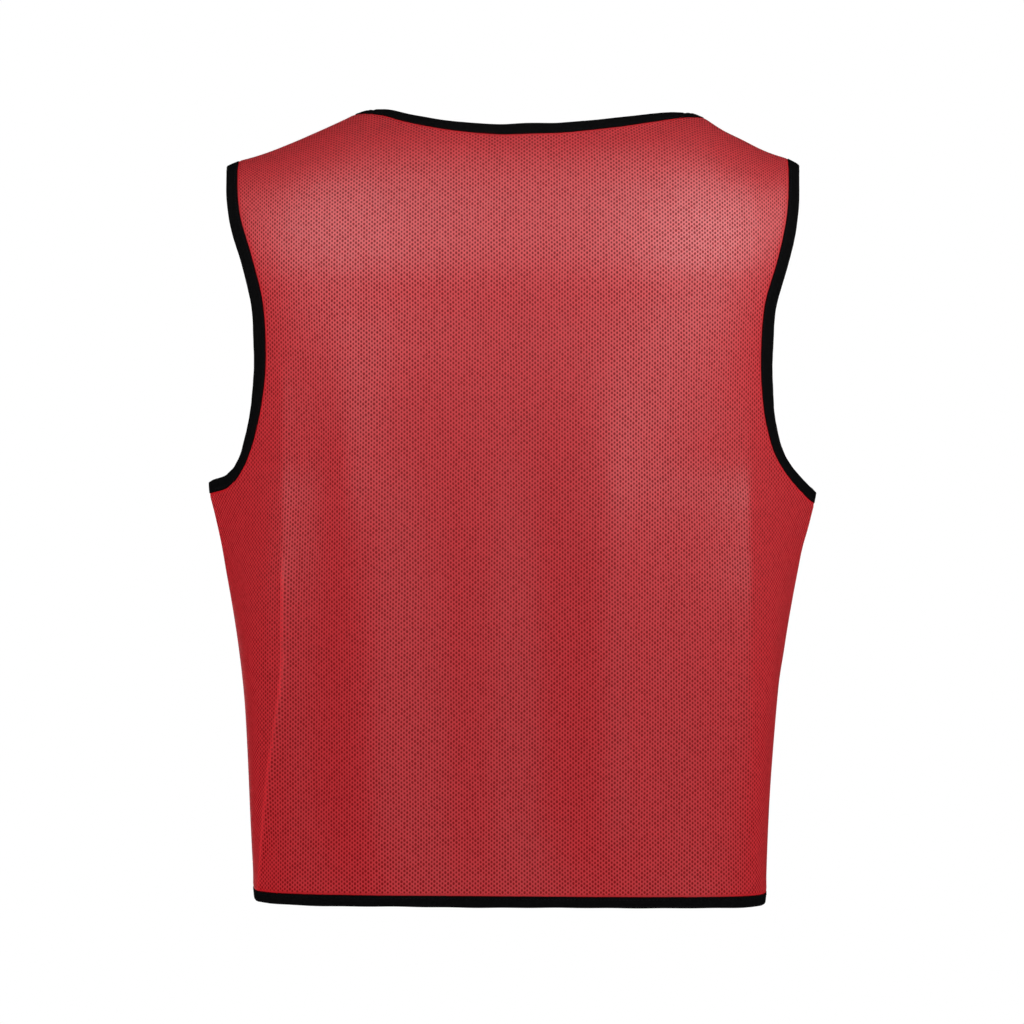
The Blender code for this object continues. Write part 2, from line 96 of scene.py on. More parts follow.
# The ridge over the shoulders: the two shoulder seams, from the tips in to the neck, and between them
# the line that the form would keep if no neck were cut
RIDGE = table(
    "across height",
    (-0.2325, -0.0170),
    (-0.2060, -0.0085),
    (-0.1870, -0.0010),
    (-0.1630, 0.0094),
    (-0.1326, 0.0230),
    (-0.0800, 0.0430),
    (0.0150, 0.0580),
    (0.1100, 0.0410),
    (0.1624, 0.0200),
    (0.1810, 0.0088),
    (0.1938, 0.0026),
    (0.2130, -0.0070),
    (0.2345, -0.0150),
)
print("form:", len(SIDES["height"]), "side heights,", len(RIDGE["across"]), "ridge places")

# %% [markdown]
# ## The two panels and their folds
#
# Each panel has its own depth and its own cut at the neck and armholes. Its soft folds are listed
# one by one, because real folds are uneven: a fold is a line from a low to a high point with a
# width and a relief, and a negative relief makes it a trough. The creases are finer and sharper
# than the folds. Those of the back follow the photograph, and the front has similar ones.

# %% The back and the front
BACK = dict(
    side=-1,
    neck_turn=0.92,
    form=table(
        "height depth corner fullness",
        (-0.6355, 0.110, 1.000, 2.5),
        (-0.4900, 0.108, 0.985, 2.4),
        (-0.3900, 0.109, 0.925, 2.2),
        (-0.3210, 0.111, 0.790, 2.0),
        (-0.2800, 0.112, 0.720, 1.9),
        (-0.2400, 0.113, 0.720, 1.8),
        (-0.1900, 0.114, 0.750, 1.7),
        (-0.1200, 0.114, 0.810, 1.5),
        (0.0000, 0.110, 0.820, 1.4),
    ),
    roll=table(
        "across drop",
        (-0.2325, 0.112),
        (-0.1326, 0.140),
        (-0.0600, 0.180),
        (0.0150, 0.200),
        (0.0900, 0.180),
        (0.1624, 0.140),
        (0.2355, 0.112),
    ),
    neck=table(
        "share height",
        (-1.00, 0.0230),
        (-0.86, 0.0216),
        (-0.69, 0.0146),
        (-0.52, 0.0088),
        (-0.13, 0.0028),
        (0.09, 0.0036),
        (0.52, 0.0106),
        (0.87, 0.0192),
        (1.00, 0.0200),
    ),
    armhole=table(
        "share left right",
        (0.00, 0.2567, 0.2573),
        (0.01, 0.2450, 0.2525),
        (0.03, 0.2360, 0.2460),
        (0.07, 0.2270, 0.2345),
        (0.13, 0.2195, 0.2225),
        (0.22, 0.2125, 0.2138),
        (0.33, 0.2075, 0.2095),
        (0.45, 0.2065, 0.2090),
        (0.57, 0.2090, 0.2120),
        (0.70, 0.2180, 0.2230),
        (0.83, 0.2288, 0.2312),
        (0.95, 0.2322, 0.2338),
        (1.00, 0.2325, 0.2345),
    ),
    folds=table(
        "low_across low_height high_across high_height width relief",
        (-0.213, -0.640, -0.194, -0.150, 0.013, 0.0018),
        (0.206, -0.640, 0.200, -0.160, 0.020, 0.0012),
        (-0.112, -0.660, -0.126, -0.140, 0.027, 0.0078),
        (-0.166, -0.640, -0.162, -0.120, 0.022, -0.0050),
        (-0.050, -0.660, -0.062, -0.180, 0.030, -0.0050),
        (0.086, -0.660, 0.074, -0.160, 0.034, 0.0100),
        (0.022, -0.640, 0.020, -0.190, 0.028, -0.0070),
        (0.176, -0.640, 0.166, -0.160, 0.024, -0.0030),
    ),
    creases=table(
        "from_across from_height to_across to_height width relief pressed",
        (-0.1915, -0.1700, -0.1900, -0.4200, 0.0042, 0.0010, 0.6),
        (-0.1905, -0.3500, -0.1925, -0.4700, 0.0032, 0.0016, 0.9),
        (-0.1900, -0.4350, -0.2040, -0.5480, 0.0032, 0.0018, 0.9),
        (-0.2005, -0.5150, -0.2140, -0.6600, 0.0032, 0.0018, 0.9),
        (0.2000, -0.6200, 0.1975, -0.2300, 0.0060, 0.0014, 0.5),
        (-0.1350, 0.0210, 0.0300, 0.0010, 0.0120, -0.0026, 0.0),
        (0.0000, 0.0010, 0.1650, 0.0190, 0.0120, -0.0026, 0.0),
        (-0.1900, -0.1130, 0.1960, -0.1080, 0.0260, 0.0016, 0.0),
        (-0.2440, -0.3300, -0.2150, -0.4700, 0.0120, 0.0012, 0.0),
        (0.2460, -0.3350, 0.2180, -0.4600, 0.0120, 0.0012, 0.0),
        (0.0500, -0.2100, 0.0580, -0.6200, 0.0140, -0.0012, 0.0),
    ),
)
FRONT = dict(
    side=1,
    neck_turn=0.86,
    form=table(
        "height depth corner fullness",
        (-0.6355, 0.112, 1.000, 2.3),
        (-0.4900, 0.115, 0.975, 2.2),
        (-0.3900, 0.119, 0.905, 2.0),
        (-0.3210, 0.123, 0.770, 1.9),
        (-0.2800, 0.125, 0.700, 1.8),
        (-0.2400, 0.126, 0.690, 1.7),
        (-0.1900, 0.125, 0.720, 1.6),
        (-0.1200, 0.121, 0.780, 1.5),
        (0.0000, 0.106, 0.800, 1.4),
    ),
    roll=table(
        "across drop",
        (-0.2325, 0.105),
        (-0.1326, 0.135),
        (-0.0600, 0.170),
        (0.0150, 0.185),
        (0.0900, 0.170),
        (0.1624, 0.135),
        (0.2355, 0.105),
    ),
    neck=table(
        "share height",
        (-1.00, 0.0230),
        (-0.97, 0.0060),
        (-0.88, -0.0210),
        (-0.72, -0.0470),
        (-0.45, -0.0700),
        (0.00, -0.0790),
        (0.45, -0.0700),
        (0.72, -0.0470),
        (0.88, -0.0210),
        (0.97, 0.0060),
        (1.00, 0.0200),
    ),
    armhole=table(
        "share left right",
        (0.00, 0.2567, 0.2573),
        (0.01, 0.2430, 0.2465),
        (0.03, 0.2325, 0.2365),
        (0.07, 0.2205, 0.2240),
        (0.13, 0.2115, 0.2130),
        (0.22, 0.2035, 0.2050),
        (0.33, 0.1985, 0.2000),
        (0.45, 0.1975, 0.2000),
        (0.57, 0.2010, 0.2040),
        (0.70, 0.2110, 0.2160),
        (0.83, 0.2240, 0.2275),
        (0.95, 0.2315, 0.2332),
        (1.00, 0.2325, 0.2345),
    ),
    folds=table(
        "low_across low_height high_across high_height width relief",
        (-0.205, -0.640, -0.185, -0.150, 0.018, 0.0026),
        (0.200, -0.640, 0.186, -0.170, 0.016, 0.0024),
        (-0.088, -0.660, -0.102, -0.150, 0.030, 0.0082),
        (-0.145, -0.640, -0.148, -0.160, 0.024, -0.0048),
        (0.016, -0.660, 0.010, -0.210, 0.030, -0.0056),
        (0.094, -0.660, 0.090, -0.140, 0.027, 0.0070),
        (0.150, -0.640, 0.146, -0.190, 0.022, -0.0044),
    ),
    creases=table(
        "from_across from_height to_across to_height width relief pressed",
        (0.2080, -0.6450, 0.1880, -0.4200, 0.0034, 0.0017, 1.0),
        (0.1890, -0.5000, 0.1840, -0.2000, 0.0045, 0.0011, 0.5),
        (-0.2040, -0.6000, -0.1880, -0.2200, 0.0070, 0.0014, 0.4),
        (-0.2420, -0.3350, -0.2100, -0.4900, 0.0120, 0.0013, 0.0),
        (0.2440, -0.3400, 0.2120, -0.4700, 0.0120, 0.0013, 0.0),
        (-0.1500, -0.0300, -0.0500, -0.2600, 0.0180, 0.0016, 0.0),
        (0.1620, -0.0400, 0.0700, -0.2500, 0.0180, 0.0016, 0.0),
    ),
)
print("folds:", len(BACK["folds"]["relief"]) + len(FRONT["folds"]["relief"]))

# %% [markdown]
# ## Level sections
#
# A level section of a worn vest is flat in the middle and round at the sides. A conic curve has
# just that: it leaves the side seam, bends round one corner point and arrives in the middle, and
# one number, its fullness, says how closely it follows the corner. The tables are read with smooth
# cubic pieces, so that no kink shows between two of their rows.

# %% Reading tables, and one conic


def read(curve, key, name, at):
    """A table's column read smoothly at any key: cubic pieces whose slopes come from the neighbours."""
    keys, values = curve[key], curve[name]
    slopes = np.gradient(values, keys)
    at = np.clip(at, keys[0], keys[-1])
    low = np.clip(np.searchsorted(keys, at) - 1, 0, len(keys) - 2)
    step = keys[low + 1] - keys[low]
    t = (at - keys[low]) / step
    start = (1 + 2 * t) * (1 - t) ** 2 * values[low] + t * (1 - t) ** 2 * step * slopes[low]
    end = t * t * (3 - 2 * t) * values[low + 1] - t * t * (1 - t) * step * slopes[low + 1]
    return start + end


def blend(low, high, share):
    """The value a share of the way from low to high: low + (high - low) * share."""
    return low + (high - low) * share


def ease(share):
    """A share from 0 to 1 that starts and ends gently: 3s^2 - 2s^3."""
    share = np.clip(share, 0, 1)
    return share * share * (3 - 2 * share)


def unit(vectors):
    """The vectors at length 1. Those of no length stay so."""
    return vectors / np.maximum(np.linalg.norm(vectors, axis=-1, keepdims=True), 1e-12)


def conic(t, reach, corner, depth, fullness):
    """A point of half a level section, from the form's side (t = 0), round its corner, to its middle.

    It is the weighted mean of three points, side, corner and middle, with the weights (1 - t)^2,
    2 * fullness * t * (1 - t) and t^2.
    """
    side_part, corner_part, middle_part = (1 - t) ** 2, 2 * fullness * t * (1 - t), t ** 2
    whole = side_part + corner_part + middle_part
    out = (side_part + corner_part * corner) * reach / whole
    return out, (corner_part + middle_part) * depth / whole


# The conic's parameter against the share of the way along a middling section
MIDDLING = dict(reach=0.24, corner=0.85, depth=0.11, fullness=2.0)
EVEN_T = np.linspace(0, 1, 201)
EVEN_SHARE = np.concatenate([[0], np.cumsum(np.hypot(*np.diff(conic(EVEN_T, **MIDDLING))))])
MIDDLING_LENGTH = EVEN_SHARE[-1]
EVEN_SHARE /= MIDDLING_LENGTH
print("a middling section is %.0f mm long from its side to its middle" % (MIDDLING_LENGTH * 1000))

# %% The sections at any height, and where a point lies on them


def section_at(panel, height, name):
    """A level section's reach, corner, depth and fullness on the named side, at any height."""
    reach = read(SIDES, "height", name, height)
    shape = (read(panel["form"], "height", column, height) for column in ("corner", "depth", "fullness"))
    return (reach, *shape)


def turn_across(panel, across, height):
    """Where a point lies along its section: -1 at the left side, 0 in the middle, 1 at the right.

    It solves the conic's equation for t, a quadratic in t / (1 - t), and turns t into a share.
    """
    turns = {}
    for name, sign in SIGN.items():
        reach, corner, _, fullness = section_at(panel, height, name)
        out = np.clip(np.abs(across) / reach, 1e-6, 1)
        bend = fullness * (corner - out)
        ratio = (bend + np.sqrt(bend ** 2 + out * (1 - out))) / out
        turns[name] = sign * (1 - np.interp(ratio / (1 + ratio), EVEN_T, EVEN_SHARE))
    return np.where(across < 0, turns["left"], turns["right"])


def section_points(panel, turn, height):
    """How far across and how deep the form lies at a turn and height, before it rolls at the top."""
    t = np.interp(1 - np.abs(turn), EVEN_SHARE, EVEN_T)
    left, left_depth = conic(t, *section_at(panel, height, "left"))
    right, right_depth = conic(t, *section_at(panel, height, "right"))
    return np.where(turn < 0, -left, right), np.where(turn < 0, left_depth, right_depth)


middle = section_points(BACK, np.array([0.0]), np.array([-0.3]))
print("depth of the back's middle at chest height, mm:", round(float(middle[1][0]) * 1000, 1))

# %% [markdown]
# ## The roll over the shoulders
#
# Below the shoulder blades the panels are upright. Above them they lean in to the ridge, like a
# quarter of an ellipse: with an angle of 0 on the ridge and a right angle at the blades, the height
# is ridge - drop * (1 - cos angle), and the section's depth is shortened to depth * sin angle.

# %% The roll


def roll_at(panel, across):
    """The ridge's height and the roll's drop."""
    return read(RIDGE, "across", "height", across), read(panel["roll"], "across", "drop", across)


def roll_angle(panel, across, height):
    """How far round the roll a point lies: 0 on the ridge, a right angle where the panel is upright."""
    ridge, drop = roll_at(panel, across)
    return np.arccos(np.clip(1 - (ridge - height) / drop, 0, 1))


def rolled_height(panel, across, angle):
    """The height that far round the roll: ridge - drop * (1 - cos angle)."""
    ridge, drop = roll_at(panel, across)
    return ridge - drop * (1 - np.cos(angle))


def surface_depth(panel, across, height):
    """How deep the surface lies anywhere on a panel: the section's depth times the sine of the roll."""
    turn = turn_across(panel, across, height)
    return section_points(panel, turn, height)[1] * np.sin(roll_angle(panel, across, height))


print("the back leans in from", round(float(rolled_height(BACK, 0.0, np.pi / 2)) * 1000), "mm up")

# %% [markdown]
# ## A grid that follows the cut
#
# A cutter lays the panel flat and cuts round its neck and armholes. The grid does the same: its
# rows and columns run along the cut edges, so that the edges are smooth and the bindings can be
# carried along them. Trimming a plain grid to the outline would leave a ragged edge.

# %% How many cells the grid has, and the cut edges
BODY_ROWS = 90            # from the hem up to the chest row, which joins the bottoms of the armholes
CHEST_ROWS = 36           # from the chest row up to the blade line
YOKE_ROWS = 36            # from the blade line up to the collar row, at the bottom of the neck
STRAP_ROWS = 20           # from the collar row up to the shoulder seams
ARMHOLE_COLUMNS = 24      # along the bottom of each armhole
SHOULDER_COLUMNS = 32     # along each shoulder seam
NECK_COLUMNS = 100        # along the bottom of the neck
ARMHOLE_BOTTOM = 0.13     # the share of an armhole's height that the chest row cuts off
CLIMB_POWER = 1.8         # above 1, the chest row's points lie closer together near the side seams
SETTLING = 8              # rounds in which heights and armhole edges settle on each other
NECK_SAMPLES = 801        # places at which the neckline's length is measured
ROWS = BODY_ROWS + CHEST_ROWS + YOKE_ROWS + STRAP_ROWS + 1
COLUMNS = 2 * ARMHOLE_COLUMNS + 2 * SHOULDER_COLUMNS + NECK_COLUMNS + 1
EDGE, NECK = ARMHOLE_COLUMNS, ARMHOLE_COLUMNS + SHOULDER_COLUMNS


def armhole_tip(name):
    """The height of a shoulder's tip."""
    return RIDGE["height"][0 if name == "left" else -1]


def armhole_edge(panel, name, height):
    """How far across the cloth's edge lies at a height of an armhole."""
    share = (height - UNDERARM[name]) / (armhole_tip(name) - UNDERARM[name])
    return SIGN[name] * read(panel["armhole"], "share", name, share)


def chest_row(panel):
    """The row that joins the bottoms of the two armholes: each column's turn and height.

    Along an armhole it climbs by ARMHOLE_BOTTOM * share^CLIMB_POWER of the armhole's height.
    """
    climb = ARMHOLE_BOTTOM * np.linspace(0, 1, ARMHOLE_COLUMNS + 1) ** CLIMB_POWER
    heights, turns = {}, {}
    for name, sign in SIGN.items():
        heights[name] = blend(UNDERARM[name], armhole_tip(name), climb)
        turns[name] = turn_across(panel, armhole_edge(panel, name, heights[name]), heights[name])
        turns[name][0] = sign
    kept = 2 * SHOULDER_COLUMNS + NECK_COLUMNS + 1
    row = []
    for ends in (turns, heights):
        between = np.linspace(ends["left"][-1], ends["right"][-1], kept)[1:-1]
        row.append(np.concatenate([ends["left"], between, ends["right"][::-1]]))
    return row


def neck_edge(panel):
    """Points of the neckline, evenly spaced round each strap and along the bottom: across, roll's angle.

    The first and last STRAP_ROWS steps climb the straps.
    """
    share = np.linspace(-1, 1, NECK_SAMPLES)
    across = blend(NECK_LEFT, NECK_RIGHT, (share + 1) / 2)
    height = read(panel["neck"], "share", "height", share)
    height[[0, -1]] = read(RIDGE, "across", "height", across[[0, -1]])
    depth = surface_depth(panel, across, height)
    length = np.cumsum(np.hypot(np.hypot(np.diff(across), np.diff(height)), np.diff(depth)))
    length = np.concatenate([[0], length])
    corners = np.interp([-1, -panel["neck_turn"], panel["neck_turn"], 1], share, length)
    steps = (STRAP_ROWS, NECK_COLUMNS, STRAP_ROWS)
    stops = [np.linspace(*corners[part:part + 2], steps[part] + 1)[:-1] for part in range(3)]
    stops = np.concatenate([*stops, corners[-1:]])
    angle = roll_angle(panel, across, height)
    return np.interp(stops, length, across), np.interp(stops, length, angle)


print("grid:", ROWS, "rows and", COLUMNS, "columns")

# %% Laying the rows between the cut edges


def torso_rows(panel, chest_share, collar_share, chest_height, collar_angle):
    """The rows between the armholes, from above the chest row up to the collar row.

    Columns are spread by share between the two armholes. Heights depend on how far across each point
    lies, and the armholes' edges on height, so both are settled in turn.
    """
    share = np.linspace(0, 1, CHEST_ROWS + YOKE_ROWS + 1)[1:, None]
    share = blend(chest_share, collar_share, ease(share))
    rise = np.linspace(0, 1, CHEST_ROWS + 1)[1:-1, None]
    angle = blend(np.pi / 2, collar_angle, np.linspace(0, 1, YOKE_ROWS + 1)[:, None])
    across = blend(NECK_LEFT, NECK_RIGHT, share)
    for _ in range(SETTLING):
        blade = rolled_height(panel, across[:CHEST_ROWS - 1], np.pi / 2)
        yoke = rolled_height(panel, across[CHEST_ROWS - 1:], angle)
        height = np.concatenate([blend(chest_height, blade, rise), yoke])
        left = armhole_edge(panel, "left", height[:, :1])
        right = armhole_edge(panel, "right", height[:, -1:])
        across = blend(left, right, share)
    return across, height


def strap(panel, name, neck_across, neck_angle):
    """One strap above the collar row, from the armhole's edge in to the neck's, row by row."""
    inward = np.linspace(0, 1, SHOULDER_COLUMNS + 1)
    upward = np.linspace(0, 1, STRAP_ROWS + 1)[:, None]
    angle = blend(blend(neck_angle[0], 0, upward), neck_angle[:, None], inward)
    across = np.full(angle.shape, neck_across[-1])
    for _ in range(SETTLING):
        height = rolled_height(panel, across, angle)
        across = blend(armhole_edge(panel, name, height[:, :1]), neck_across[:, None], inward)
    return across, rolled_height(panel, across, angle)


def panel_grid(panel):
    """How far across and how high each grid point of a panel lies. Points where no cloth is stay at 0.

    Rows are level at the hem, bend to the chest row, and rise to the blade line, a roll's drop below
    the ridge. Above it they follow the roll to the collar row, and the straps to the ridge.
    """
    chest_turn, chest_height = chest_row(panel)
    across, height = np.zeros((2, ROWS, COLUMNS))

    climb = np.linspace(0, 1, BODY_ROWS + 1)[:, None]
    hem_height = np.linspace(HEM_LEFT, HEM_RIGHT, COLUMNS)
    body = slice(0, BODY_ROWS + 1)
    height[body] = blend(hem_height, chest_height, climb)
    body_turn = blend(np.linspace(-1, 1, COLUMNS), chest_turn, ease(climb))
    across[body] = section_points(panel, body_turn, height[body])[0]

    neck_across, neck_angle = neck_edge(panel)
    top = slice(-STRAP_ROWS - 1, None)
    ends = neck_across[STRAP_ROWS::-1], neck_angle[STRAP_ROWS::-1]
    left = slice(EDGE, NECK + 1)
    across[top, left], height[top, left] = strap(panel, "left", *ends)
    ends = neck_across[-STRAP_ROWS - 1:], neck_angle[-STRAP_ROWS - 1:]
    strap_across, strap_height = strap(panel, "right", *ends)
    right = slice(-NECK - 1, -EDGE)
    across[top, right], height[top, right] = strap_across[:, ::-1], strap_height[:, ::-1]

    bottom = slice(STRAP_ROWS, -STRAP_ROWS)
    collar_angle = np.pad(neck_angle[bottom], SHOULDER_COLUMNS, mode="edge")
    collar = across[-STRAP_ROWS - 1, EDGE:-EDGE]
    collar[SHOULDER_COLUMNS:-SHOULDER_COLUMNS] = neck_across[bottom]
    chest = across[BODY_ROWS, EDGE:-EDGE]
    chest_share, collar_share = ((row - row[0]) / (row[-1] - row[0]) for row in (chest, collar))
    kept = (slice(BODY_ROWS + 1, -STRAP_ROWS), slice(EDGE, -EDGE))
    torso = torso_rows(panel, chest_share, collar_share, chest_height[EDGE:-EDGE], collar_angle)
    across[kept], height[kept] = torso
    return across, height


def cloth_cells():
    """Which cells of a panel's grid are cloth: all but those of the armholes and the neck."""
    cloth = np.ones((ROWS - 1, COLUMNS - 1), dtype=bool)
    cloth[BODY_ROWS:, :EDGE] = cloth[BODY_ROWS:, -EDGE:] = False
    cloth[-STRAP_ROWS:, NECK:-NECK] = False
    return cloth


CELLS = cloth_cells()
print("cells of cloth in each panel:", int(CELLS.sum()))

# %% [markdown]
# ## Folds, creases and puckers
#
# Hanging cloth folds along the lines that carry its weight, from the shoulder blades down to the
# hem. Each fold is a bell-shaped ridge across its line that fades out at both ends. A crease is the
# same at any slant, where the bib lay folded or is pulled by a seam. The tape's stitches draw the
# cloth in a little, so fine puckers start at every bound edge and die out within a finger's width.
# All of this moves the surface straight out or in.

# %% Relief
PUCKER_HEIGHT = 0.00022   # how far a pucker rises or sinks
PUCKER_LENGTH = 0.0115    # from one pucker to the next
PUCKER_REACH = 0.0075     # how far from the edge a pucker has sunk to about a third
PUCKER_START = 0.0015     # from the edge, where the tape holds the cloth flat, to where a pucker is full
SWELL_HEIGHT = 0.0004     # the cloth swells just beside a binding, where the stitches hold it down
SWELL_REACH = 0.0030      # how far from the edge the swell is highest
SHARPLY_PRESSED = 0.8     # a crease pressed as much as this shows as a fine light line


def outward_sums(points, side):
    """At each point, the sum of the normals of the cloth's cells round it, away from the wearer."""
    one_diagonal = points[1:, 1:] - points[:-1, :-1]
    other_diagonal = points[1:, :-1] - points[:-1, 1:]
    cells = np.cross(other_diagonal, one_diagonal) * side
    cells *= CELLS[..., None]
    sums = np.zeros(points.shape)
    for corner in (sums[:-1, :-1], sums[:-1, 1:], sums[1:, :-1], sums[1:, 1:]):
        corner += cells
    return sums


def fold_relief(across, height, folds):
    """How far each point stands proud on the panel's long folds.

    Relief is the sum, over the folds, of relief * exp(-(distance / width)^2), with the distance
    measured level from the fold's line, and fades over a sixth of the line below and two fifths above.
    """
    relief = np.zeros(across.shape)
    for fold in range(len(folds["relief"])):
        low, high = folds["low_height"][fold], folds["high_height"][fold]
        share = (height - low) / (high - low)
        line = blend(folds["low_across"][fold], folds["high_across"][fold], share)
        bell = np.exp(-(((across - line) / folds["width"][fold]) ** 2))
        relief += folds["relief"][fold] * bell * ease(share * 6) * ease((1 - share) * 2.5)
    return relief


def from_crease(across, height, creases, crease):
    """Each point's share of the way along one crease, distance square to it, and the crease's length."""
    start = np.array([creases["from_across"][crease], creases["from_height"][crease]])
    end = np.array([creases["to_across"][crease], creases["to_height"][crease]])
    length = np.linalg.norm(end - start)
    along, square = (end - start) / length, np.array([start[1] - end[1], end[0] - start[0]]) / length
    share = ((across - start[0]) * along[0] + (height - start[1]) * along[1]) / length
    return share, (across - start[0]) * square[0] + (height - start[1]) * square[1], length


def crease_sum(across, height, creases, amount):
    """The named amount summed over creases, which lie at any slant: amount * exp(-(distance / width)^2).

    The distance is measured square to the line, and a crease fades over a quarter of it at each end.
    """
    total = np.zeros(across.shape)
    for crease in range(len(creases[amount])):
        share, distance, _ = from_crease(across, height, creases, crease)
        bell = np.exp(-((distance / creases["width"][crease]) ** 2))
        total += creases[amount][crease] * bell * ease(share * 4) * ease((1 - share) * 4)
    return total


def beside_sharp_crease(across, height, creases):
    """How far each point lies beside the nearest sharply pressed crease, negative on one side of it.

    It is the distance square to the line, and past an end of it also the distance past that end.
    """
    nearest = np.ones(across.shape)
    for crease in np.flatnonzero(creases["pressed"] >= SHARPLY_PRESSED):
        share, distance, length = from_crease(across, height, creases, crease)
        distance = distance + np.copysign(length * np.clip(np.abs(share - 0.5) - 0.5, 0, None), distance)
        nearest = np.where(np.abs(distance) < np.abs(nearest), distance, nearest)
    return nearest


def edge_paths():
    """The grid rows and columns of each bound edge, in order from one seam to the other."""
    up = np.arange(BODY_ROWS + 1, ROWS)
    armhole_rows = np.concatenate([np.full(EDGE + 1, BODY_ROWS), up])
    armhole_columns = np.concatenate([np.arange(EDGE + 1), np.full(len(up), EDGE)])
    bottom = np.arange(NECK, COLUMNS - NECK)
    strap_rows = np.arange(ROWS - STRAP_ROWS, ROWS)
    collar_rows = np.full(len(bottom), ROWS - 1 - STRAP_ROWS)
    return {
        "neck": (
            np.concatenate([strap_rows[::-1], collar_rows, strap_rows]),
            np.concatenate([np.full(STRAP_ROWS, bottom[0]), bottom, np.full(STRAP_ROWS, bottom[-1])]),
        ),
        "left": (armhole_rows, armhole_columns),
        "right": (armhole_rows, COLUMNS - 1 - armhole_columns),
        "hem": (np.zeros(COLUMNS, dtype=int), np.arange(COLUMNS)),
    }


def along_path(points):
    """How far along a line of points each one lies."""
    return np.concatenate([[0], np.cumsum(np.linalg.norm(np.diff(points, axis=0), axis=1))])


def nearest_edge(points):
    """Each point's distance from the nearest bound edge, and how far along that edge it lies."""
    flat = points.reshape(-1, 3)
    near, place = np.full(len(flat), 1.0), np.zeros(len(flat))
    for path in edge_paths().values():
        edge = points[path]
        square = (flat ** 2).sum(1)[:, None] + (edge ** 2).sum(1) - 2 * flat @ edge.T
        closest = square.argmin(axis=1)
        distance = np.sqrt(np.maximum(square[np.arange(len(flat)), closest], 0))
        nearer = distance < near
        near[nearer] = distance[nearer]
        place[nearer] = along_path(edge)[closest[nearer]]
    return near.reshape(points.shape[:2]), place.reshape(points.shape[:2])


def pucker_relief(near, place):
    """Puckers: a sine along the edge, whose length and height wander, times exp(-distance / reach).

    The swell beside the binding is added to them: height * s * exp(1 - s), with s = distance / reach.
    """
    wander = 0.35 * np.sin(place / 0.037) + 0.25 * np.sin(place / 0.0163 + 1.3)
    wave = np.sin(2 * np.pi * place / PUCKER_LENGTH + 2.6 * wander) * (0.7 + wander)
    swell = SWELL_HEIGHT * (near / SWELL_REACH) * np.exp(1 - near / SWELL_REACH)
    return PUCKER_HEIGHT * wave * np.exp(-near / PUCKER_REACH) * ease(near / PUCKER_START) + swell


def formed_panel(panel):
    """A panel's outer points, their marks as add_mesh lists them, and their place on the flat cloth."""
    across, height = panel_grid(panel)
    depth = surface_depth(panel, across, height)
    points = np.stack([across, panel["side"] * depth, height], axis=-1)
    near, place = nearest_edge(points)
    relief = fold_relief(across, height, panel["folds"])
    relief += crease_sum(across, height, panel["creases"], "relief")
    relief += pucker_relief(near, place)
    points += unit(outward_sums(points, panel["side"])) * relief[..., None]
    pressed = crease_sum(across, height, panel["creases"], "pressed")
    beside = beside_sharp_crease(across, height, panel["creases"])
    return points, np.stack([near, pressed, beside], axis=-1), flat_place(panel, across, height)


print("bound edges:", ", ".join(edge_paths()))

# %% [markdown]
# ## The grain of the cloth
#
# The mesh is knitted in columns, and the cutter lays the panels so that these run straight down. A
# pattern stuck on by height and width would stretch where the cloth turns away. So each point gets
# its place on the flat cloth, found by measuring along the surface: round the level section for the
# place across, and up over the roll for the place along. It is kept as a UV map, in metres.

# %% Places on the flat cloth
MEASURING_STEPS = np.linspace(0, 1, 25)[:, None, None]


def flat_place(panel, across, height):
    """Each point's place on the flat cloth: across from the middle, and up from the hem.

    Across is the length of the level section from the middle to the point, taken at the blade line
    for points above it. Up is the height, and above the blade line the length of the roll.
    """
    ridge, drop = roll_at(panel, across)
    level = np.minimum(height, ridge - drop)
    turn = turn_across(panel, across, level)
    out, depth = section_points(panel, turn * MEASURING_STEPS, np.broadcast_to(level, across.shape))
    width = np.hypot(np.diff(out, axis=0), np.diff(depth, axis=0)).sum(axis=0) * np.sign(turn)
    angle = blend(np.pi / 2, roll_angle(panel, across, height), MEASURING_STEPS)
    roll_height = ridge - drop * (1 - np.cos(angle))
    roll_turn = turn_across(panel, across, roll_height)
    roll_depth = section_points(panel, roll_turn, roll_height)[1] * np.sin(angle)
    rise = np.hypot(np.diff(roll_height, axis=0), np.diff(roll_depth, axis=0)).sum(axis=0)
    return np.stack([width, level - HEM_LEFT + rise], axis=-1)


back, back_marks, back_flat = formed_panel(BACK)
front, front_marks, front_flat = formed_panel(FRONT)
cloth_points = np.zeros((ROWS, COLUMNS), dtype=bool)
for corner in (np.s_[:-1, :-1], np.s_[:-1, 1:], np.s_[1:, :-1], np.s_[1:, 1:]):
    cloth_points[corner] |= CELLS
flat_size = {}
for name, flat in (("back", back_flat), ("front", front_flat)):
    flat_size[name] = np.ptp(flat[cloth_points], axis=0)
    print(name, "panel, cut flat: %.0f by %.0f mm" % tuple(flat_size[name] * 1000))

# %% [markdown]
# ## Seams that close
#
# At the shoulders and sides the two panels are sewn right sides together, and the cut edges are left
# on the inside. Seen from outside, such a seam is a fine groove where both panels dive in. So each
# panel stops just short of the seam's plane, and a narrow allowance goes on from there, straight
# inward beside that of the other panel. A painted line would have no depth, and a gap would let
# light through.

# %% Fitting the panels to each other
ALLOWANCE = 0.0070        # how far the allowances reach in
ALLOWANCE_STEPS = np.array([0.0016, 0.0035, 0.0053, ALLOWANCE])  # how far in each row of points is
PRESSED_PAST = 0.00005    # how far past the seam plane the seam presses them, so no light gets through
PRESS_SHARE = np.array([0.5, 1.0, 1.0, 1.0])  # each row's share of the way there


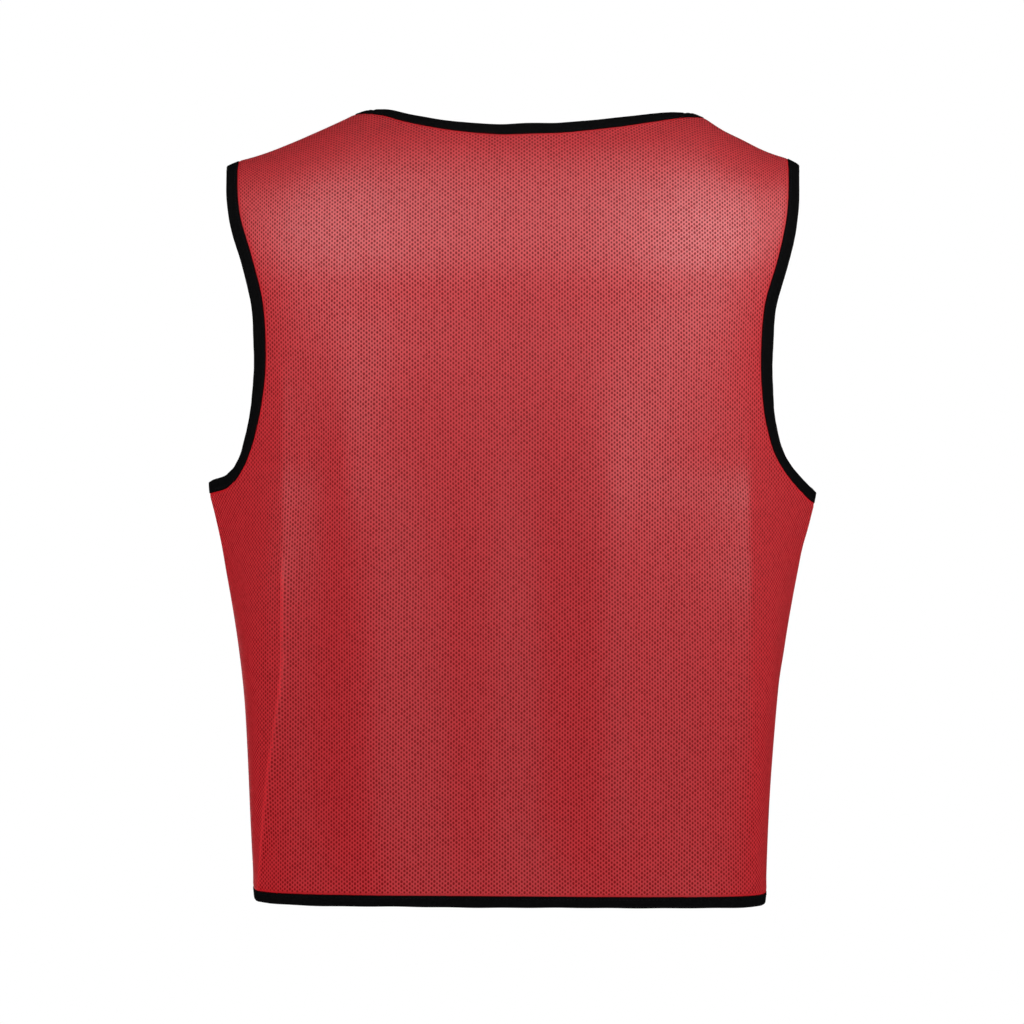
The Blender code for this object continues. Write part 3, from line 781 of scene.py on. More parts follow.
def seam_paths():
    """The grid rows and columns of the four seams."""
    body, top = np.arange(BODY_ROWS + 1), np.full(SHOULDER_COLUMNS + 1, ROWS - 1)
    shoulder = np.arange(EDGE, NECK + 1)
    last = COLUMNS - 1
    return [
        (body, np.zeros_like(body)),
        (body, np.full_like(body, last)),
        (top, shoulder),
        (top, last - shoulder),
    ]


def fit_seams(back, front):
    """Stop both panels short of the seam plane, and find their normals, the same on both at a seam."""
    back_normal, front_normal = outward_sums(back, BACK["side"]), outward_sums(front, FRONT["side"])
    seams = np.zeros(back.shape[:2], dtype=bool)
    for path in seam_paths():
        seams[path] = True
    back_normal[seams] += front_normal[seams]
    back_normal[seams, 1] = 0
    front_normal[seams] = back_normal[seams]
    middle = (back[seams] + front[seams] * (1, -1, 1)) / 2
    middle[:, 1] = -SEAM_GAP / 2
    back[seams] = middle
    front[seams] = middle * (1, -1, 1)
    return unit(back_normal), unit(front_normal)


back_normal, front_normal = fit_seams(back, front)
print("points along each of the four seams:", [len(rows) for rows, _ in seam_paths()])

# %% [markdown]
# ## Making a panel
#
# A panel is a closed shell: its outer grid, the same grid a cloth's thickness further in, and a
# rim. A Solidify modifier could add the thickness, but here the inner points are worked out at
# once, because the allowances fold back on themselves and need their thickness sideways.

# %% Shells
SHARP_ANGLE = np.radians(60)  # an edge that bends more than this stays crisp

# For each seam that seam_paths lists: the axis of the flat cloth along which its allowance goes on,
# the sense, and whether the allowance's faces are turned the way its rows run
SEAM_WAYS = ((0, -1, False), (0, 1, True), (1, 1, True), (1, 1, False))


def add_mesh(name, vertices, faces, material, slot, uv=None, marks=None):
    """A mesh piece that rides on the frame, with its places on the flat cloth where it has them.

    Marks are each point's distance from a bound edge, how sharply the cloth is pressed there, and how
    far it lies beside a sharp crease. The last has a sign, so that it passes zero right on the crease
    and a line finer than the grid can be drawn there.
    """
    mesh = bpy.data.meshes.new(name)
    mesh.from_pydata(vertices.tolist(), [], faces.tolist())
    mesh.shade_smooth()
    mesh.set_sharp_from_angle(angle=SHARP_ANGLE)
    if uv is not None:
        corners = np.empty(len(mesh.loops), dtype=np.int32)
        mesh.loops.foreach_get("vertex_index", corners)
        mesh.uv_layers.new(name="grain").data.foreach_set("uv", uv[corners].astype(np.float32).ravel())
    if marks is not None:
        for column, mark in enumerate(("from_edge", "pressed", "beside_crease")):
            values = marks[:, column].astype(np.float32)
            mesh.attributes.new(mark, "FLOAT", "POINT").data.foreach_set("value", values)
    mesh.materials.append(material)
    piece = bpy.data.objects.new(name, mesh)
    bpy.context.scene.collection.objects.link(piece)
    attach(piece, "root")
    return piece


def grid_quads(index):
    """Each cell's four corners, in order round it: along its first row, and back along the next one."""
    return np.stack([index[:-1, :-1], index[:-1, 1:], index[1:, 1:], index[1:, :-1]], axis=-1)


def shell_faces(outer, count):
    """The faces of a closed shell: the outer ones, the same ones of the inner wall turned round, and a rim.

    Outer holds the corners of the outer faces, and inner vertices follow the count outer ones.
    """
    sides = np.stack([outer, np.roll(outer, -1, axis=1)], axis=-1).reshape(-1, 2)
    _, place, uses = np.unique(np.sort(sides, axis=1), axis=0, return_index=True, return_counts=True)
    border = sides[place[uses == 1]]
    rim = np.concatenate([border[:, ::-1], border + count], axis=1)
    return np.concatenate([outer, outer[:, ::-1] + count, rim])


def panel_shell(panel, points, normals, flat, marks):
    """Vertices, faces, flat places and marks of a panel with its seam allowances.

    A point of the inner wall is the outer point - normal * CLOTH. Along a seam it also moves CLOTH
    away from the seam plane. An allowance's points are the seam's points - normal * step, moved
    toward the seam plane until the two allowances press on each other.
    """
    index = np.arange(ROWS * COLUMNS).reshape(ROWS, COLUMNS)
    aside = np.array([0, panel["side"] * CLOTH, 0])
    inner = points - normals * CLOTH
    inward = ALLOWANCE_STEPS[:, None, None]
    parts = dict(outer=[points.reshape(-1, 3)], inner=[], flat=[flat.reshape(-1, 2)])
    parts["marks"] = [marks.reshape(-1, 3)]
    strips, count = [grid_quads(index)[CELLS]], index.size
    for path, (axis, sense, as_rows_run) in zip(seam_paths(), SEAM_WAYS):
        inner[path] += aside
        strip = points[path] - normals[path] * inward
        strip[..., 1] -= panel["side"] * (SEAM_GAP / 2 + PRESSED_PAST) * PRESS_SHARE[:, None]
        strip_flat = np.tile(flat[path], (len(ALLOWANCE_STEPS), 1, 1))
        strip_flat[..., axis] += inward[..., 0] * sense
        parts["outer"].append(strip.reshape(-1, 3))
        parts["inner"].append((strip + aside).reshape(-1, 3))
        parts["flat"].append(strip_flat.reshape(-1, 2))
        parts["marks"].append(np.tile(marks[path], (len(ALLOWANCE_STEPS), 1)))
        strip_index = count + np.arange(strip[..., 0].size).reshape(strip.shape[:2])
        quads = grid_quads(np.concatenate([index[path][None], strip_index])).reshape(-1, 4)
        strips.append(quads if as_rows_run else quads[:, ::-1])
        count += strip_index.size
    parts["inner"].insert(0, inner.reshape(-1, 3))
    faces = np.concatenate(strips)
    if panel["side"] > 0:
        faces = faces[:, ::-1]
    faces = shell_faces(faces, count)
    vertices = np.concatenate(parts["outer"] + parts["inner"])
    flat, marks = (np.concatenate(parts[key] * 2) for key in ("flat", "marks"))
    used = np.unique(faces)
    renumber = np.zeros(len(vertices), dtype=int)
    renumber[used] = np.arange(len(used))
    return vertices[used], renumber[faces], flat[used], marks[used]


print("rows of points in each allowance:", len(ALLOWANCE_STEPS))

# %% [markdown]
# ## Colours and nodes
#
# Colours are picked as sRGB hex values, as on a screen, and Blender works with linear light, so one
# function turns one into the other. Another small one adds a node and joins it up.

# %% Helpers for materials
COLOUR_A, COLOUR_B, COLOUR_OUT = 6, 7, 2  # where a Mix node has its two colours and their mixture


def linear(hex_colour):
    """An sRGB hex colour as linear red, green, blue and alpha: ((c + 0.055) / 1.055)^2.4, or c / 12.92."""
    srgb = np.array([int(hex_colour[place:place + 2], 16) for place in (1, 3, 5)]) / 255
    light = np.where(srgb <= 0.04045, srgb / 12.92, ((srgb + 0.055) / 1.055) ** 2.4)
    return (*light.tolist(), 1.0)


def add_node(tree, kind, inputs, **settings):
    """Add a node with its settings. An input is a value, or a node or socket to link it to."""
    node = tree.nodes.new("ShaderNode" + kind)
    for setting, value in settings.items():
        setattr(node, setting, value)
    for key, value in inputs.items():
        if isinstance(value, bpy.types.Node):
            value = value.outputs[0]
        if isinstance(value, bpy.types.NodeSocket):
            tree.links.new(value, node.inputs[key])
        else:
            node.inputs[key].default_value = value
    return node


def new_material(name):
    """An empty material with its output node."""
    material = bpy.data.materials.new(name)
    material.use_nodes = True
    material.node_tree.nodes.clear()
    return material, material.node_tree


print("mid grey #808080 in linear light: %.3f" % linear("#808080")[0])

# %% [markdown]
# ## The red mesh
#
# Bib mesh is warp-knitted from bright polyester yarn: a flat lattice with small oval eyelets in
# staggered columns. The yarn is smooth plastic, so the cloth has a soft broad sheen where light
# falls on it from above. Through the eyelets one would see into the shaded hollow of the bib, so
# they are painted dark as painted shade, and the yarn round each one is painted darker as painted
# shade where it dips into the hole. The eyelets could be cut out as real holes, but there are some
# forty thousand of them in each panel, so they are drawn from the flat places: one column every
# 2.26 mm, one eyelet every 3.57 mm along it, and every other column moved up by half. Noise as fine
# as the knitted loops breaks up the yarn between them. On a sharply pressed crease the eyelets are
# nearly shut and the yarn is painted lighter, a painted highlight that leaves a fine light line.

# %% Knitted mesh
EYELET_ACROSS = 0.00226   # from one column of eyelets to the next
EYELET_ALONG = 0.00357    # from one eyelet to the next in a column
EYELET_SIZE = (0.00150, 0.00195)  # across and along
EYELET_RIM = (1.32, 0.92)         # in radii of an eyelet, where its colour starts and where it is full
YARN_RIM = (0.95, 1.45)           # the same for the colour of the yarn between the eyelets
TIGHTNESS = (0.86, 1.22)          # the least and most by which chance divides an eyelet's radius
TAPE_SIDE = (0.0014, 0.0030)      # from the cloth's edge to where eyelets start and where they are open
# The yarn, the painted shade on the yarn round each eyelet, the yarn at the tape, and the painted shade in
# the eyelets
YARN, YARN_SHADED_AT_EYELET, YARN_AT_EDGE, EYELET_SHADE = "#be2a31", "#951a1f", "#ac131a", "#690003"
# Pattern scales, in features to a metre
DRIFT = 30.0              # how the columns stray, over 33 mm
PATCHES = 16.0            # patches of slightly uneven colour, 62 mm wide
RIPPLES = 55.0            # soft ripples in the cloth, 18 mm long
LOOPS = 700.0             # the knitted loops, 1.4 mm long
WANDER = 0.0016           # the columns stray by up to about a third of this
CREASE_LINE = 0.0018      # from the middle of a sharp crease to where its light line stops showing
# Painted highlight: how much lighter the yarn is painted on a sharp crease's line
CREASE_HIGHLIGHT = 0.22            # how much lighter the yarn is on that line
SHUT = 0.2                # how much of an eyelet shows there


def knitted_mesh():
    """Warp-knitted polyester mesh, dyed red.

    The flat place is counted in eyelets across and along. Radius is the distance from the middle of
    the nearest eyelet, sqrt(x^2 + y^2), with x and y in halves of its width and its height.
    """
    material, tree = new_material("knitted_polyester_mesh_red")
    flat = add_node(tree, "UVMap", {}, uv_map="grain")
    place = add_node(tree, "TexCoord", {}).outputs["Object"]
    drift = add_node(tree, "TexNoise", {"Vector": place, "Scale": DRIFT, "Detail": 2.0})
    drift = add_node(
        tree, "VectorMath", {0: drift.outputs["Color"], 1: (0.5, 0.5, 0.5)}, operation="SUBTRACT")
    drift = add_node(tree, "VectorMath", {0: drift, "Scale": WANDER}, operation="SCALE")
    moved = add_node(tree, "VectorMath", {0: flat, 1: drift}, operation="ADD")
    counts = add_node(
        tree, "VectorMath", {0: moved, 1: (EYELET_ACROSS, EYELET_ALONG, 1.0)}, operation="DIVIDE")
    parts = add_node(tree, "SeparateXYZ", {0: counts})
    column = add_node(tree, "Math", {0: parts.outputs["X"]}, operation="FLOOR")
    odd = add_node(tree, "Math", {0: column, 1: 2.0}, operation="FLOORED_MODULO")
    stagger = add_node(tree, "Math", {0: odd, 1: 0.5, 2: parts.outputs["Y"]}, operation="MULTIPLY_ADD")
    cell = add_node(tree, "CombineXYZ", {"X": parts.outputs["X"], "Y": stagger, "Z": 0.0})
    number = add_node(tree, "VectorMath", {0: cell}, operation="FLOOR")
    chance = add_node(tree, "TexWhiteNoise", {"Vector": number})
    cell = add_node(tree, "VectorMath", {0: cell}, operation="FRACTION")
    cell = add_node(tree, "VectorMath", {0: cell, 1: (0.5, 0.5, 0.0)}, operation="SUBTRACT")
    reach = (2 * EYELET_ACROSS / EYELET_SIZE[0], 2 * EYELET_ALONG / EYELET_SIZE[1], 0.0)
    cell = add_node(tree, "VectorMath", {0: cell, 1: reach}, operation="MULTIPLY")
    radius = add_node(tree, "VectorMath", {0: cell}, operation="LENGTH").outputs["Value"]
    lattice = add_node(
        tree, "MapRange", {"Value": radius, "From Min": YARN_RIM[0], "From Max": YARN_RIM[1]},
        interpolation_type="SMOOTHSTEP")
    tightness = add_node(tree, "MapRange", {
        "Value": chance.outputs["Value"], "To Min": TIGHTNESS[0], "To Max": TIGHTNESS[1]})
    radius = add_node(tree, "Math", {0: radius, 1: tightness}, operation="MULTIPLY")
    eyelet = add_node(
        tree, "MapRange", {"Value": radius, "From Min": EYELET_RIM[0], "From Max": EYELET_RIM[1]},
        interpolation_type="SMOOTHSTEP")

    # Eyelets are hidden under the tape, and nearly shut along the light line of a sharp crease
    edge = add_node(tree, "Attribute", {}, attribute_name="from_edge").outputs["Fac"]
    open_here = add_node(
        tree, "MapRange", {"Value": edge, "From Min": TAPE_SIDE[0], "From Max": TAPE_SIDE[1]},
        interpolation_type="SMOOTHSTEP")
    eyelet = add_node(tree, "Math", {0: eyelet, 1: open_here}, operation="MULTIPLY")
    pressed = add_node(tree, "Attribute", {}, attribute_name="pressed").outputs["Fac"]
    beside = add_node(tree, "Attribute", {}, attribute_name="beside_crease").outputs["Fac"]
    beside = add_node(tree, "Math", {0: beside}, operation="ABSOLUTE")
    line = add_node(
        tree, "MapRange", {"Value": beside, "From Min": CREASE_LINE, "From Max": CREASE_LINE / 4},
        interpolation_type="SMOOTHSTEP")
    line = add_node(tree, "Math", {0: line, 1: pressed}, operation="MULTIPLY")
    shut = add_node(tree, "MapRange", {"Value": line, "To Min": 1.0, "To Max": SHUT})
    eyelet = add_node(tree, "Math", {0: eyelet, 1: shut}, operation="MULTIPLY")

    # Colour: yarn with painted shade beside each eyelet, deeper at the tape, painted shade in the
    # eyelets, and a painted highlight along a sharp crease
    patches = add_node(tree, "TexNoise", {"Vector": place, "Scale": PATCHES, "Detail": 3.0})
    tone = add_node(tree, "MapRange", {"Value": patches, "To Min": 0.98, "To Max": 1.02})
    # Painted highlight: the yarn is painted lighter along the line of a sharp crease
    tone = add_node(tree, "Math", {0: line, 1: CREASE_HIGHLIGHT, 2: tone}, operation="MULTIPLY_ADD")
    loops = add_node(tree, "TexNoise", {"Vector": place, "Scale": LOOPS, "Detail": 1.0})
    loops = add_node(tree, "MapRange", {"Value": loops, "From Min": 0.35, "From Max": 0.65, "To Min": 0.55})
    lattice = add_node(tree, "Math", {0: lattice, 1: loops}, operation="MULTIPLY")
    colour = linear(YARN)
    # The first mix is painted shade on the yarn round each eyelet, the last the painted shade in the
    # eyelets
    for share, first, second in (
        (lattice, linear(YARN_SHADED_AT_EYELET), None),
        (open_here, linear(YARN_AT_EDGE), None),
        (eyelet, None, linear(EYELET_SHADE)),
    ):
        mixed = {"Factor": share, COLOUR_A: first or colour, COLOUR_B: second or colour}
        colour = add_node(tree, "Mix", mixed, data_type="RGBA").outputs[COLOUR_OUT]
    colour = add_node(tree, "VectorMath", {0: colour, "Scale": tone}, operation="SCALE")
    roughness = add_node(tree, "MapRange", {"Value": eyelet, "To Min": 0.43, "To Max": 1.0})

    # Relief: the ripples, and the eyelets as small dents
    ripples = add_node(tree, "TexNoise", {"Vector": place, "Scale": RIPPLES, "Detail": 2.0})
    soft = add_node(tree, "Bump", {"Height": ripples, "Strength": 0.18, "Distance": 0.0012})
    depth = add_node(tree, "Math", {0: 1.0, 1: eyelet}, operation="SUBTRACT")
    bump = add_node(tree, "Bump", {"Height": depth, "Strength": 0.3, "Distance": 0.0003, "Normal": soft})

    # Polyester's IOR is about 1.6, and a little more gives the sheen of many smooth round threads
    surface = add_node(tree, "BsdfPrincipled", {
        "Base Color": colour, "Roughness": roughness, "IOR": 1.70, "Specular IOR Level": 1.0,
        "Normal": bump})
    add_node(tree, "OutputMaterial", {"Surface": surface})
    return material


mesh_cloth = knitted_mesh()
pieces = {}
for name, panel, points, normals, flat, marks in (
    ("back_panel", BACK, back, back_normal, back_flat, back_marks),
    ("front_panel", FRONT, front, front_normal, front_flat, front_marks),
):
    shell = panel_shell(panel, points, normals, flat, marks)
    pieces[name] = add_mesh(name + "_cloth", shell[0], shell[1], mesh_cloth, "mesh_cloth_red", *shell[2:])
    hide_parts(name)
    print(name, "has", 2 * len(shell[1]), "triangles")

# %% [markdown]
# ## Folded tape
#
# The binding is a knitted tape folded round the cloth's edge and stitched through both legs at
# once. Its section is a flat C: thin lips that grip the cloth, a dip where the stitches pull, a
# fuller middle, and a round fold. The section is carried along the edge, a fixed frame at each
# point: outward along the surface, and up along its normal. A curve with a bevel would twist at
# the tight turns under the arms, and couldn't follow the normal.

# %% The tape's section and the ring it is carried round
LIP = 0.0007              # how far the lips reach over the cloth
TUCK = 0.0013             # how far a seam draws the fold in
TUCK_REACH = 0.0060       # how far along the edge from the seam it does so
BULGE = 0.10              # the share by which the tape gets thicker and thinner, about once a stitch
BULGE_STEP = 0.0030       # from one thicker place to the next
FOLD_STEPS = 8            # faces round the fold


def tape_section(width):
    """The section's corners, out from the cloth's edge and up from its outer face, all the way round.

    One leg's corners are listed, from its lip over the dip at the stitches to the fold, which is half
    a circle. The other leg is its mirror image, and the slot between them holds the cloth.
    """
    fold = TAPE_THICK / 2
    leg = np.array([
        (-LIP, 0.00004), (-LIP * 0.9, 0.00034), (-0.0002, 0.00060), (0.0008, 0.00068), (0.0017, 0.00058),
        (0.0027, 0.00070), (0.0045, 0.00082), (width - 0.0028, 0.00084), (width - fold, 0.00080),
    ])
    turn = np.linspace(0, np.pi, FOLD_STEPS + 1)[1:-1]
    bend = np.stack([width - fold + fold * np.sin(turn), fold * np.cos(turn) - CLOTH / 2], axis=1)
    other_leg = leg[::-1] * (1, -1) - (0, CLOTH)
    slot = np.array([(0.0001, -CLOTH), (0.0001, 0.0)])
    return np.concatenate([leg, bend, other_leg, slot])


def smooth_ring(values, rounds):
    """A closed ring of values, each pulled toward its neighbours: (before + 2 * here + after) / 4."""
    for _ in range(rounds):
        values = (np.roll(values, 1, axis=0) + 2 * values + np.roll(values, -1, axis=0)) / 4
    return values


def edge_ring(path, away):
    """A bound edge all round: its points, and at each one the ways along, beyond the cloth, and up."""
    points = np.concatenate([back[path], front[path][-2:0:-1]])
    points[[0, len(back[path]) - 1], 1] = 0
    up = unit(smooth_ring(np.concatenate([back_normal[path], front_normal[path][-2:0:-1]]), 3))
    along = unit(smooth_ring(np.roll(points, -1, axis=0) - np.roll(points, 1, axis=0), 2))
    beyond = unit(np.cross(along, up))
    beyond *= np.sign(np.sum(beyond * away, axis=1, keepdims=True))
    return points, along, beyond, up


def carried_section(ring, width, flare, seam):
    """The tape's surface: point + beyond * out + up * height, at each point of the ring.

    The fold wanders by a few tenths of a millimetre, as a tape fed by hand does, and is drawn in where
    the tape crosses a seam. Between the seams the tape is stiffer than the cloth and stands away from
    the turn of the body: height grows by flare * out^2 / width, times a sine from seam to seam. Seam is
    the number of the ring's point at its second seam, the first being at point 0.
    """
    points, along, beyond, up = ring
    section = tape_section(width)
    place = along_path(points)[:, None]
    stops = place[[0, seam, -1]]
    from_seam = np.abs(place - stops[:, 0]).min(axis=1, keepdims=True)
    wander = 0.00016 * np.sin(place / 0.019) + 0.00012 * np.sin(place / 0.0071 + 2.0)
    wander -= TUCK * np.exp(-((from_seam / TUCK_REACH) ** 2))
    thicker = 1 + BULGE * np.sin(2 * np.pi * place / BULGE_STEP + np.sin(place / 0.013))
    out = section[:, 0] + wander * np.clip(section[:, 0] / width, 0, 1)
    raised = (section[:, 1] + CLOTH / 2) * thicker - CLOTH / 2
    lift = np.sin(np.pi * np.interp(place, stops[:, 0], [0, 1, 2])) ** 2
    raised = raised + flare * lift * np.clip(out, 0, None) ** 2 / width
    return points[:, None] + beyond[:, None] * out[..., None] + up[:, None] * raised[..., None]


def ring_faces(count, corners):
    """The quads between the sections of a closed ring."""
    index = np.arange(count * corners).reshape(count, corners)
    return grid_quads(np.pad(index, ((0, 1), (0, 1)), mode="wrap")).reshape(-1, 4)


def outward(vertices, faces):
    """The faces, turned round if they enclose a negative volume: the sum of the corner triple products."""
    a, b, c, d = (vertices[faces[:, corner]] for corner in range(4))
    volume = np.sum(a * np.cross(b, c)) + np.sum(a * np.cross(c, d))
    return faces if volume > 0 else faces[:, ::-1]


print("corners round the tape's section:", len(tape_section(TAPE_WIDTH)))

# %% [markdown]
# Binding tape of this kind is a matt rib knit, dyed black. It shows no shine and hardly any form,
# only the ribs across it when the camera is close.

# %% Knitted tape, and the thread that holds it
RIB = 0.0009              # from one rib of the tape to the next
# Pattern scales, in features to a metre
FLUFF = 900.0             # loose fibres on the tape, 1.1 mm long
TWIST = 2500.0            # the twist of the thread, 0.4 mm long


def knitted_tape():
    """Rib-knitted polyester tape, dyed black."""
    material, tree = new_material("rib_knitted_tape_black")
    flat = add_node(tree, "UVMap", {}, uv_map="grain")
    parts = add_node(tree, "SeparateXYZ", {0: flat})
    ribs = add_node(tree, "Math", {0: parts.outputs["X"], 1: 2 * np.pi / RIB}, operation="MULTIPLY")
    ribs = add_node(tree, "Math", {0: ribs}, operation="SINE")
    place = add_node(tree, "TexCoord", {}).outputs["Object"]
    fluff = add_node(tree, "TexNoise", {"Vector": place, "Scale": FLUFF, "Detail": 2.0})
    height = add_node(tree, "Math", {0: ribs, 1: 0.5, 2: fluff}, operation="MULTIPLY_ADD")
    bump = add_node(tree, "Bump", {"Height": height, "Strength": 0.5, "Distance": 0.00015})
    tone = add_node(tree, "MapRange", {"Value": fluff, "From Min": 0.3, "From Max": 0.7})
    shades = {COLOUR_A: linear("#040404"), COLOUR_B: linear("#0c0c0d")}
    colour = add_node(tree, "Mix", {"Factor": tone, **shades}, data_type="RGBA").outputs[COLOUR_OUT]
    surface = add_node(tree, "BsdfPrincipled", {
        "Base Color": colour, "Roughness": 0.95, "IOR": 1.5, "Specular IOR Level": 0.05, "Normal": bump})
    add_node(tree, "OutputMaterial", {"Surface": surface})
    return material


def spun_thread():
    """Spun polyester sewing thread, black, a little smoother than the tape."""
    material, tree = new_material("spun_polyester_thread_black")
    place = add_node(tree, "TexCoord", {}).outputs["Object"]
    twist = add_node(tree, "TexNoise", {"Vector": place, "Scale": TWIST})
    bump = add_node(tree, "Bump", {"Height": twist, "Strength": 0.5, "Distance": 0.00005})
    surface = add_node(tree, "BsdfPrincipled", {
        "Base Color": linear("#0d0d0e"), "Roughness": 0.70, "IOR": 1.5, "Specular IOR Level": 0.15,
        "Normal": bump})
    add_node(tree, "OutputMaterial", {"Surface": surface})
    return material


tape_cloth, thread = knitted_tape(), spun_thread()
print("finishes:", mesh_cloth.name, tape_cloth.name, thread.name)

# %% [markdown]
# ## Stitches
#
# A row of lockstitches holds each binding, seen on both sides of the bib. Each stitch is a short
# length of thread that dives into the tape at both ends. One stitch is worked out as a small
# spindle and then set down at every step along the ring as one array.

# %% One stitch, and a row of them
STITCH_STEP = 0.0031      # from one stitch to the next
STITCH_LENGTH = 0.0025    # the part of a stitch that shows
STITCH_OUT = 0.0017       # from the cloth's edge to the row
STITCH_RISE = 0.00066     # from the cloth's face up to the middle of the thread
THREAD = 0.00042          # the thread's thickness
DIVE = 0.8                # how far a stitch's ends dive, in thicknesses
STITCH_RINGS = np.array([-1.0, -0.72, 0.0, 0.72, 1.0])  # places of its rings, from end to end
STITCH_SIDES = 5


def tube_quads(index):
    """The quads between the rings of a tube, whose points are numbered in a row for each ring."""
    beside = np.roll(index, -1, axis=1)
    return np.stack([index[:-1], index[1:], beside[1:], beside[:-1]], axis=-1).reshape(-1, 4)


def stitch_shape():
    """A spindle along x: rings of radius (THREAD / 2) * sqrt(1 - s^2), bowed down by s^2 at the ends.

    S is a ring's place. A hair more than 1 under the root keeps the points of the end rings apart.
    """
    s = STITCH_RINGS[:, None]
    turn = 2 * np.pi * np.arange(STITCH_SIDES) / STITCH_SIDES
    radius = THREAD / 2 * np.sqrt(1.0001 - s ** 2)
    bow = -THREAD * DIVE * s ** 2
    rings = np.stack(np.broadcast_arrays(
        s * STITCH_LENGTH / 2, radius * np.cos(turn), bow + radius * np.sin(turn)), axis=-1)
    return rings.reshape(-1, 3), tube_quads(np.arange(rings[..., 0].size).reshape(rings.shape[:2]))


def stitch_row(ring, height):
    """Stitches all round a ring at a height over the cloth's face, as one array of vertices and faces."""
    points, along, beyond, up = ring
    line = points + beyond * STITCH_OUT + up * height
    ways = [np.concatenate([way, way[:1]]) for way in (line, along, beyond, up)]
    length = along_path(ways[0])
    count = int(length[-1] / STITCH_STEP)
    stops = np.linspace(0, length[-1], count, endpoint=False)
    centre, x, y, z = (np.stack([np.interp(stops, length, way[:, axis]) for axis in range(3)], axis=1)
                       for way in ways)
    z = z * np.sign(height)
    shape, quads = stitch_shape()
    vertices = (centre[:, None] + x[:, None] * shape[:, :1] + y[:, None] * shape[:, 1:2]
                + z[:, None] * shape[:, 2:]).reshape(-1, 3)
    faces = (quads + len(shape) * np.arange(count)[:, None, None]).reshape(-1, 4)
    return vertices, outward(vertices, faces)


# Each tape's node, the edge it binds, its width, its flare, and a way that points off the cloth
TAPES = (
    ("neck_binding", "neck", TAPE_WIDTH, 0.12, (0, 0, 1)),
    ("armhole_binding_left", "left", TAPE_WIDTH, 0.38, (-1, 0, 1)),
    ("armhole_binding_right", "right", TAPE_WIDTH, 0.38, (1, 0, 1)),
    ("hem_binding", "hem", HEM_TAPE_WIDTH, 0.0, (0, 0, -1)),
)
trims = []
for name, edge, width, flare, away in TAPES:
    path = edge_paths()[edge]
    ring = edge_ring(path, np.array(away))
    sections = carried_section(ring, width, flare, len(path[0]) - 1)
    vertices = sections.reshape(-1, 3)
    faces = outward(vertices, ring_faces(*sections.shape[:2]))
    length = along_path(ring[0])
    section_length = along_path(np.pad(tape_section(width), ((0, 0), (0, 1))))
    flat = np.stack(np.meshgrid(length, section_length, indexing="ij"), axis=-1).reshape(-1, 2)
    pieces[name] = add_mesh(name + "_tape", vertices, faces, tape_cloth, "binding_tape_black", flat)
    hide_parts(name)
    rows = [stitch_row(ring, height) for height in (STITCH_RISE, -STITCH_RISE - CLOTH)]
    vertices = np.concatenate([row[0] for row in rows])
    faces = np.concatenate([rows[0][1], rows[1][1] + len(rows[0][0])])
    trims += [pieces[name], add_mesh(name + "_stitches", vertices, faces, thread, "binding_tape_black")]
    stitches = len(rows[0][0]) // (STITCH_RINGS.size * STITCH_SIDES)
    print(name, "is %.0f mm round, with %d stitches a side" % (length[-1] * 1000, stitches))

# %% [markdown]
# ## What the cloth was cut from
#
# The two panels are sheets of cloth, so here each one's width and length before it was sewn are
# worked out from the flat places, with its seam allowances added.

# %% Flat sizes


for name, flat, other in (("back", back_flat, "front"), ("front", front_flat, "back")):
    width, length = flat_size[name] + (2 * ALLOWANCE, ALLOWANCE)

# %% [markdown]
# ## Camera
#
# The photograph is taken from far off and level with the middle of the bib, so that nothing looks
# foreshortened. A long lens 4.5 m away does that: its width of view at the seams is 0.870 m.

# %% Camera
CAMERA_DISTANCE = 4.5
CAMERA_HEIGHT = -0.3145
VIEW_WIDTH = 0.8704
camera = bpy.data.cameras.new("camera")
camera.sensor_width = 36.0
camera.lens = camera.sensor_width * CAMERA_DISTANCE / VIEW_WIDTH
camera_object = bpy.data.objects.new("camera", camera)
camera_object.location = (0, -CAMERA_DISTANCE, CAMERA_HEIGHT)
camera_object.rotation_euler = (np.pi / 2, 0, 0)
bpy.context.scene.collection.objects.link(camera_object)
bpy.context.scene.camera = camera_object
print("lens: %.0f mm" % camera.lens)

# %% [markdown]
# ## Light
#
# The sheen over the right shoulder blade shows where the light comes from: a softbox close to the
# bib, to the right and a little above it, with a weaker one to the left. Both stand so near that
# their light falls off toward the hem, which gets a little from a low fill lamp. One more softbox
# lights the front of the bib. The rest is the even light of a tent of white cloth, such as
# photographers put round a product, here a box of six glowing walls. Its roof is dim and its floor
# bright, so the cloth is darkest where it rolls over the shoulders. The walls light the cloth
# without being mirrored in it, as yarn is too rough to mirror a wall. A world background would do
# the same with less work, but its mirror image can't be left out as cleanly.

# %% Softboxes and the light tent
SHOULDER_BLADES, SMALL_OF_BACK, CHEST = (0.0, -0.1, -0.25), (0.0, -0.1, -0.45), (0.0, 0.1, -0.32)


def softbox(name, size, power, place, target):
    """A square area light at a place, facing a target. It isn't seen itself."""
    light = bpy.data.lights.new(name, "AREA")
    light.size, light.energy = size, power
    lamp = bpy.data.objects.new(name, light)
    lamp.location = place
    lamp.rotation_euler = (Vector(place) - Vector(target)).to_track_quat("Z", "Y").to_euler()
    lamp.visible_camera = False
    bpy.context.scene.collection.objects.link(lamp)
    return lamp


softbox("right_softbox", 0.60, 2.25, (0.42, -0.47, 0.11), SHOULDER_BLADES)
softbox("left_softbox", 0.54, 1.10, (-0.29, -0.42, 0.07), SHOULDER_BLADES)
softbox("front_softbox", 0.66, 0.85, (-0.12, 0.74, -0.42), CHEST)
softbox("low_fill", 0.60, 1.90, (0.30, -1.20, -0.70), SMALL_OF_BACK).visible_glossy = False

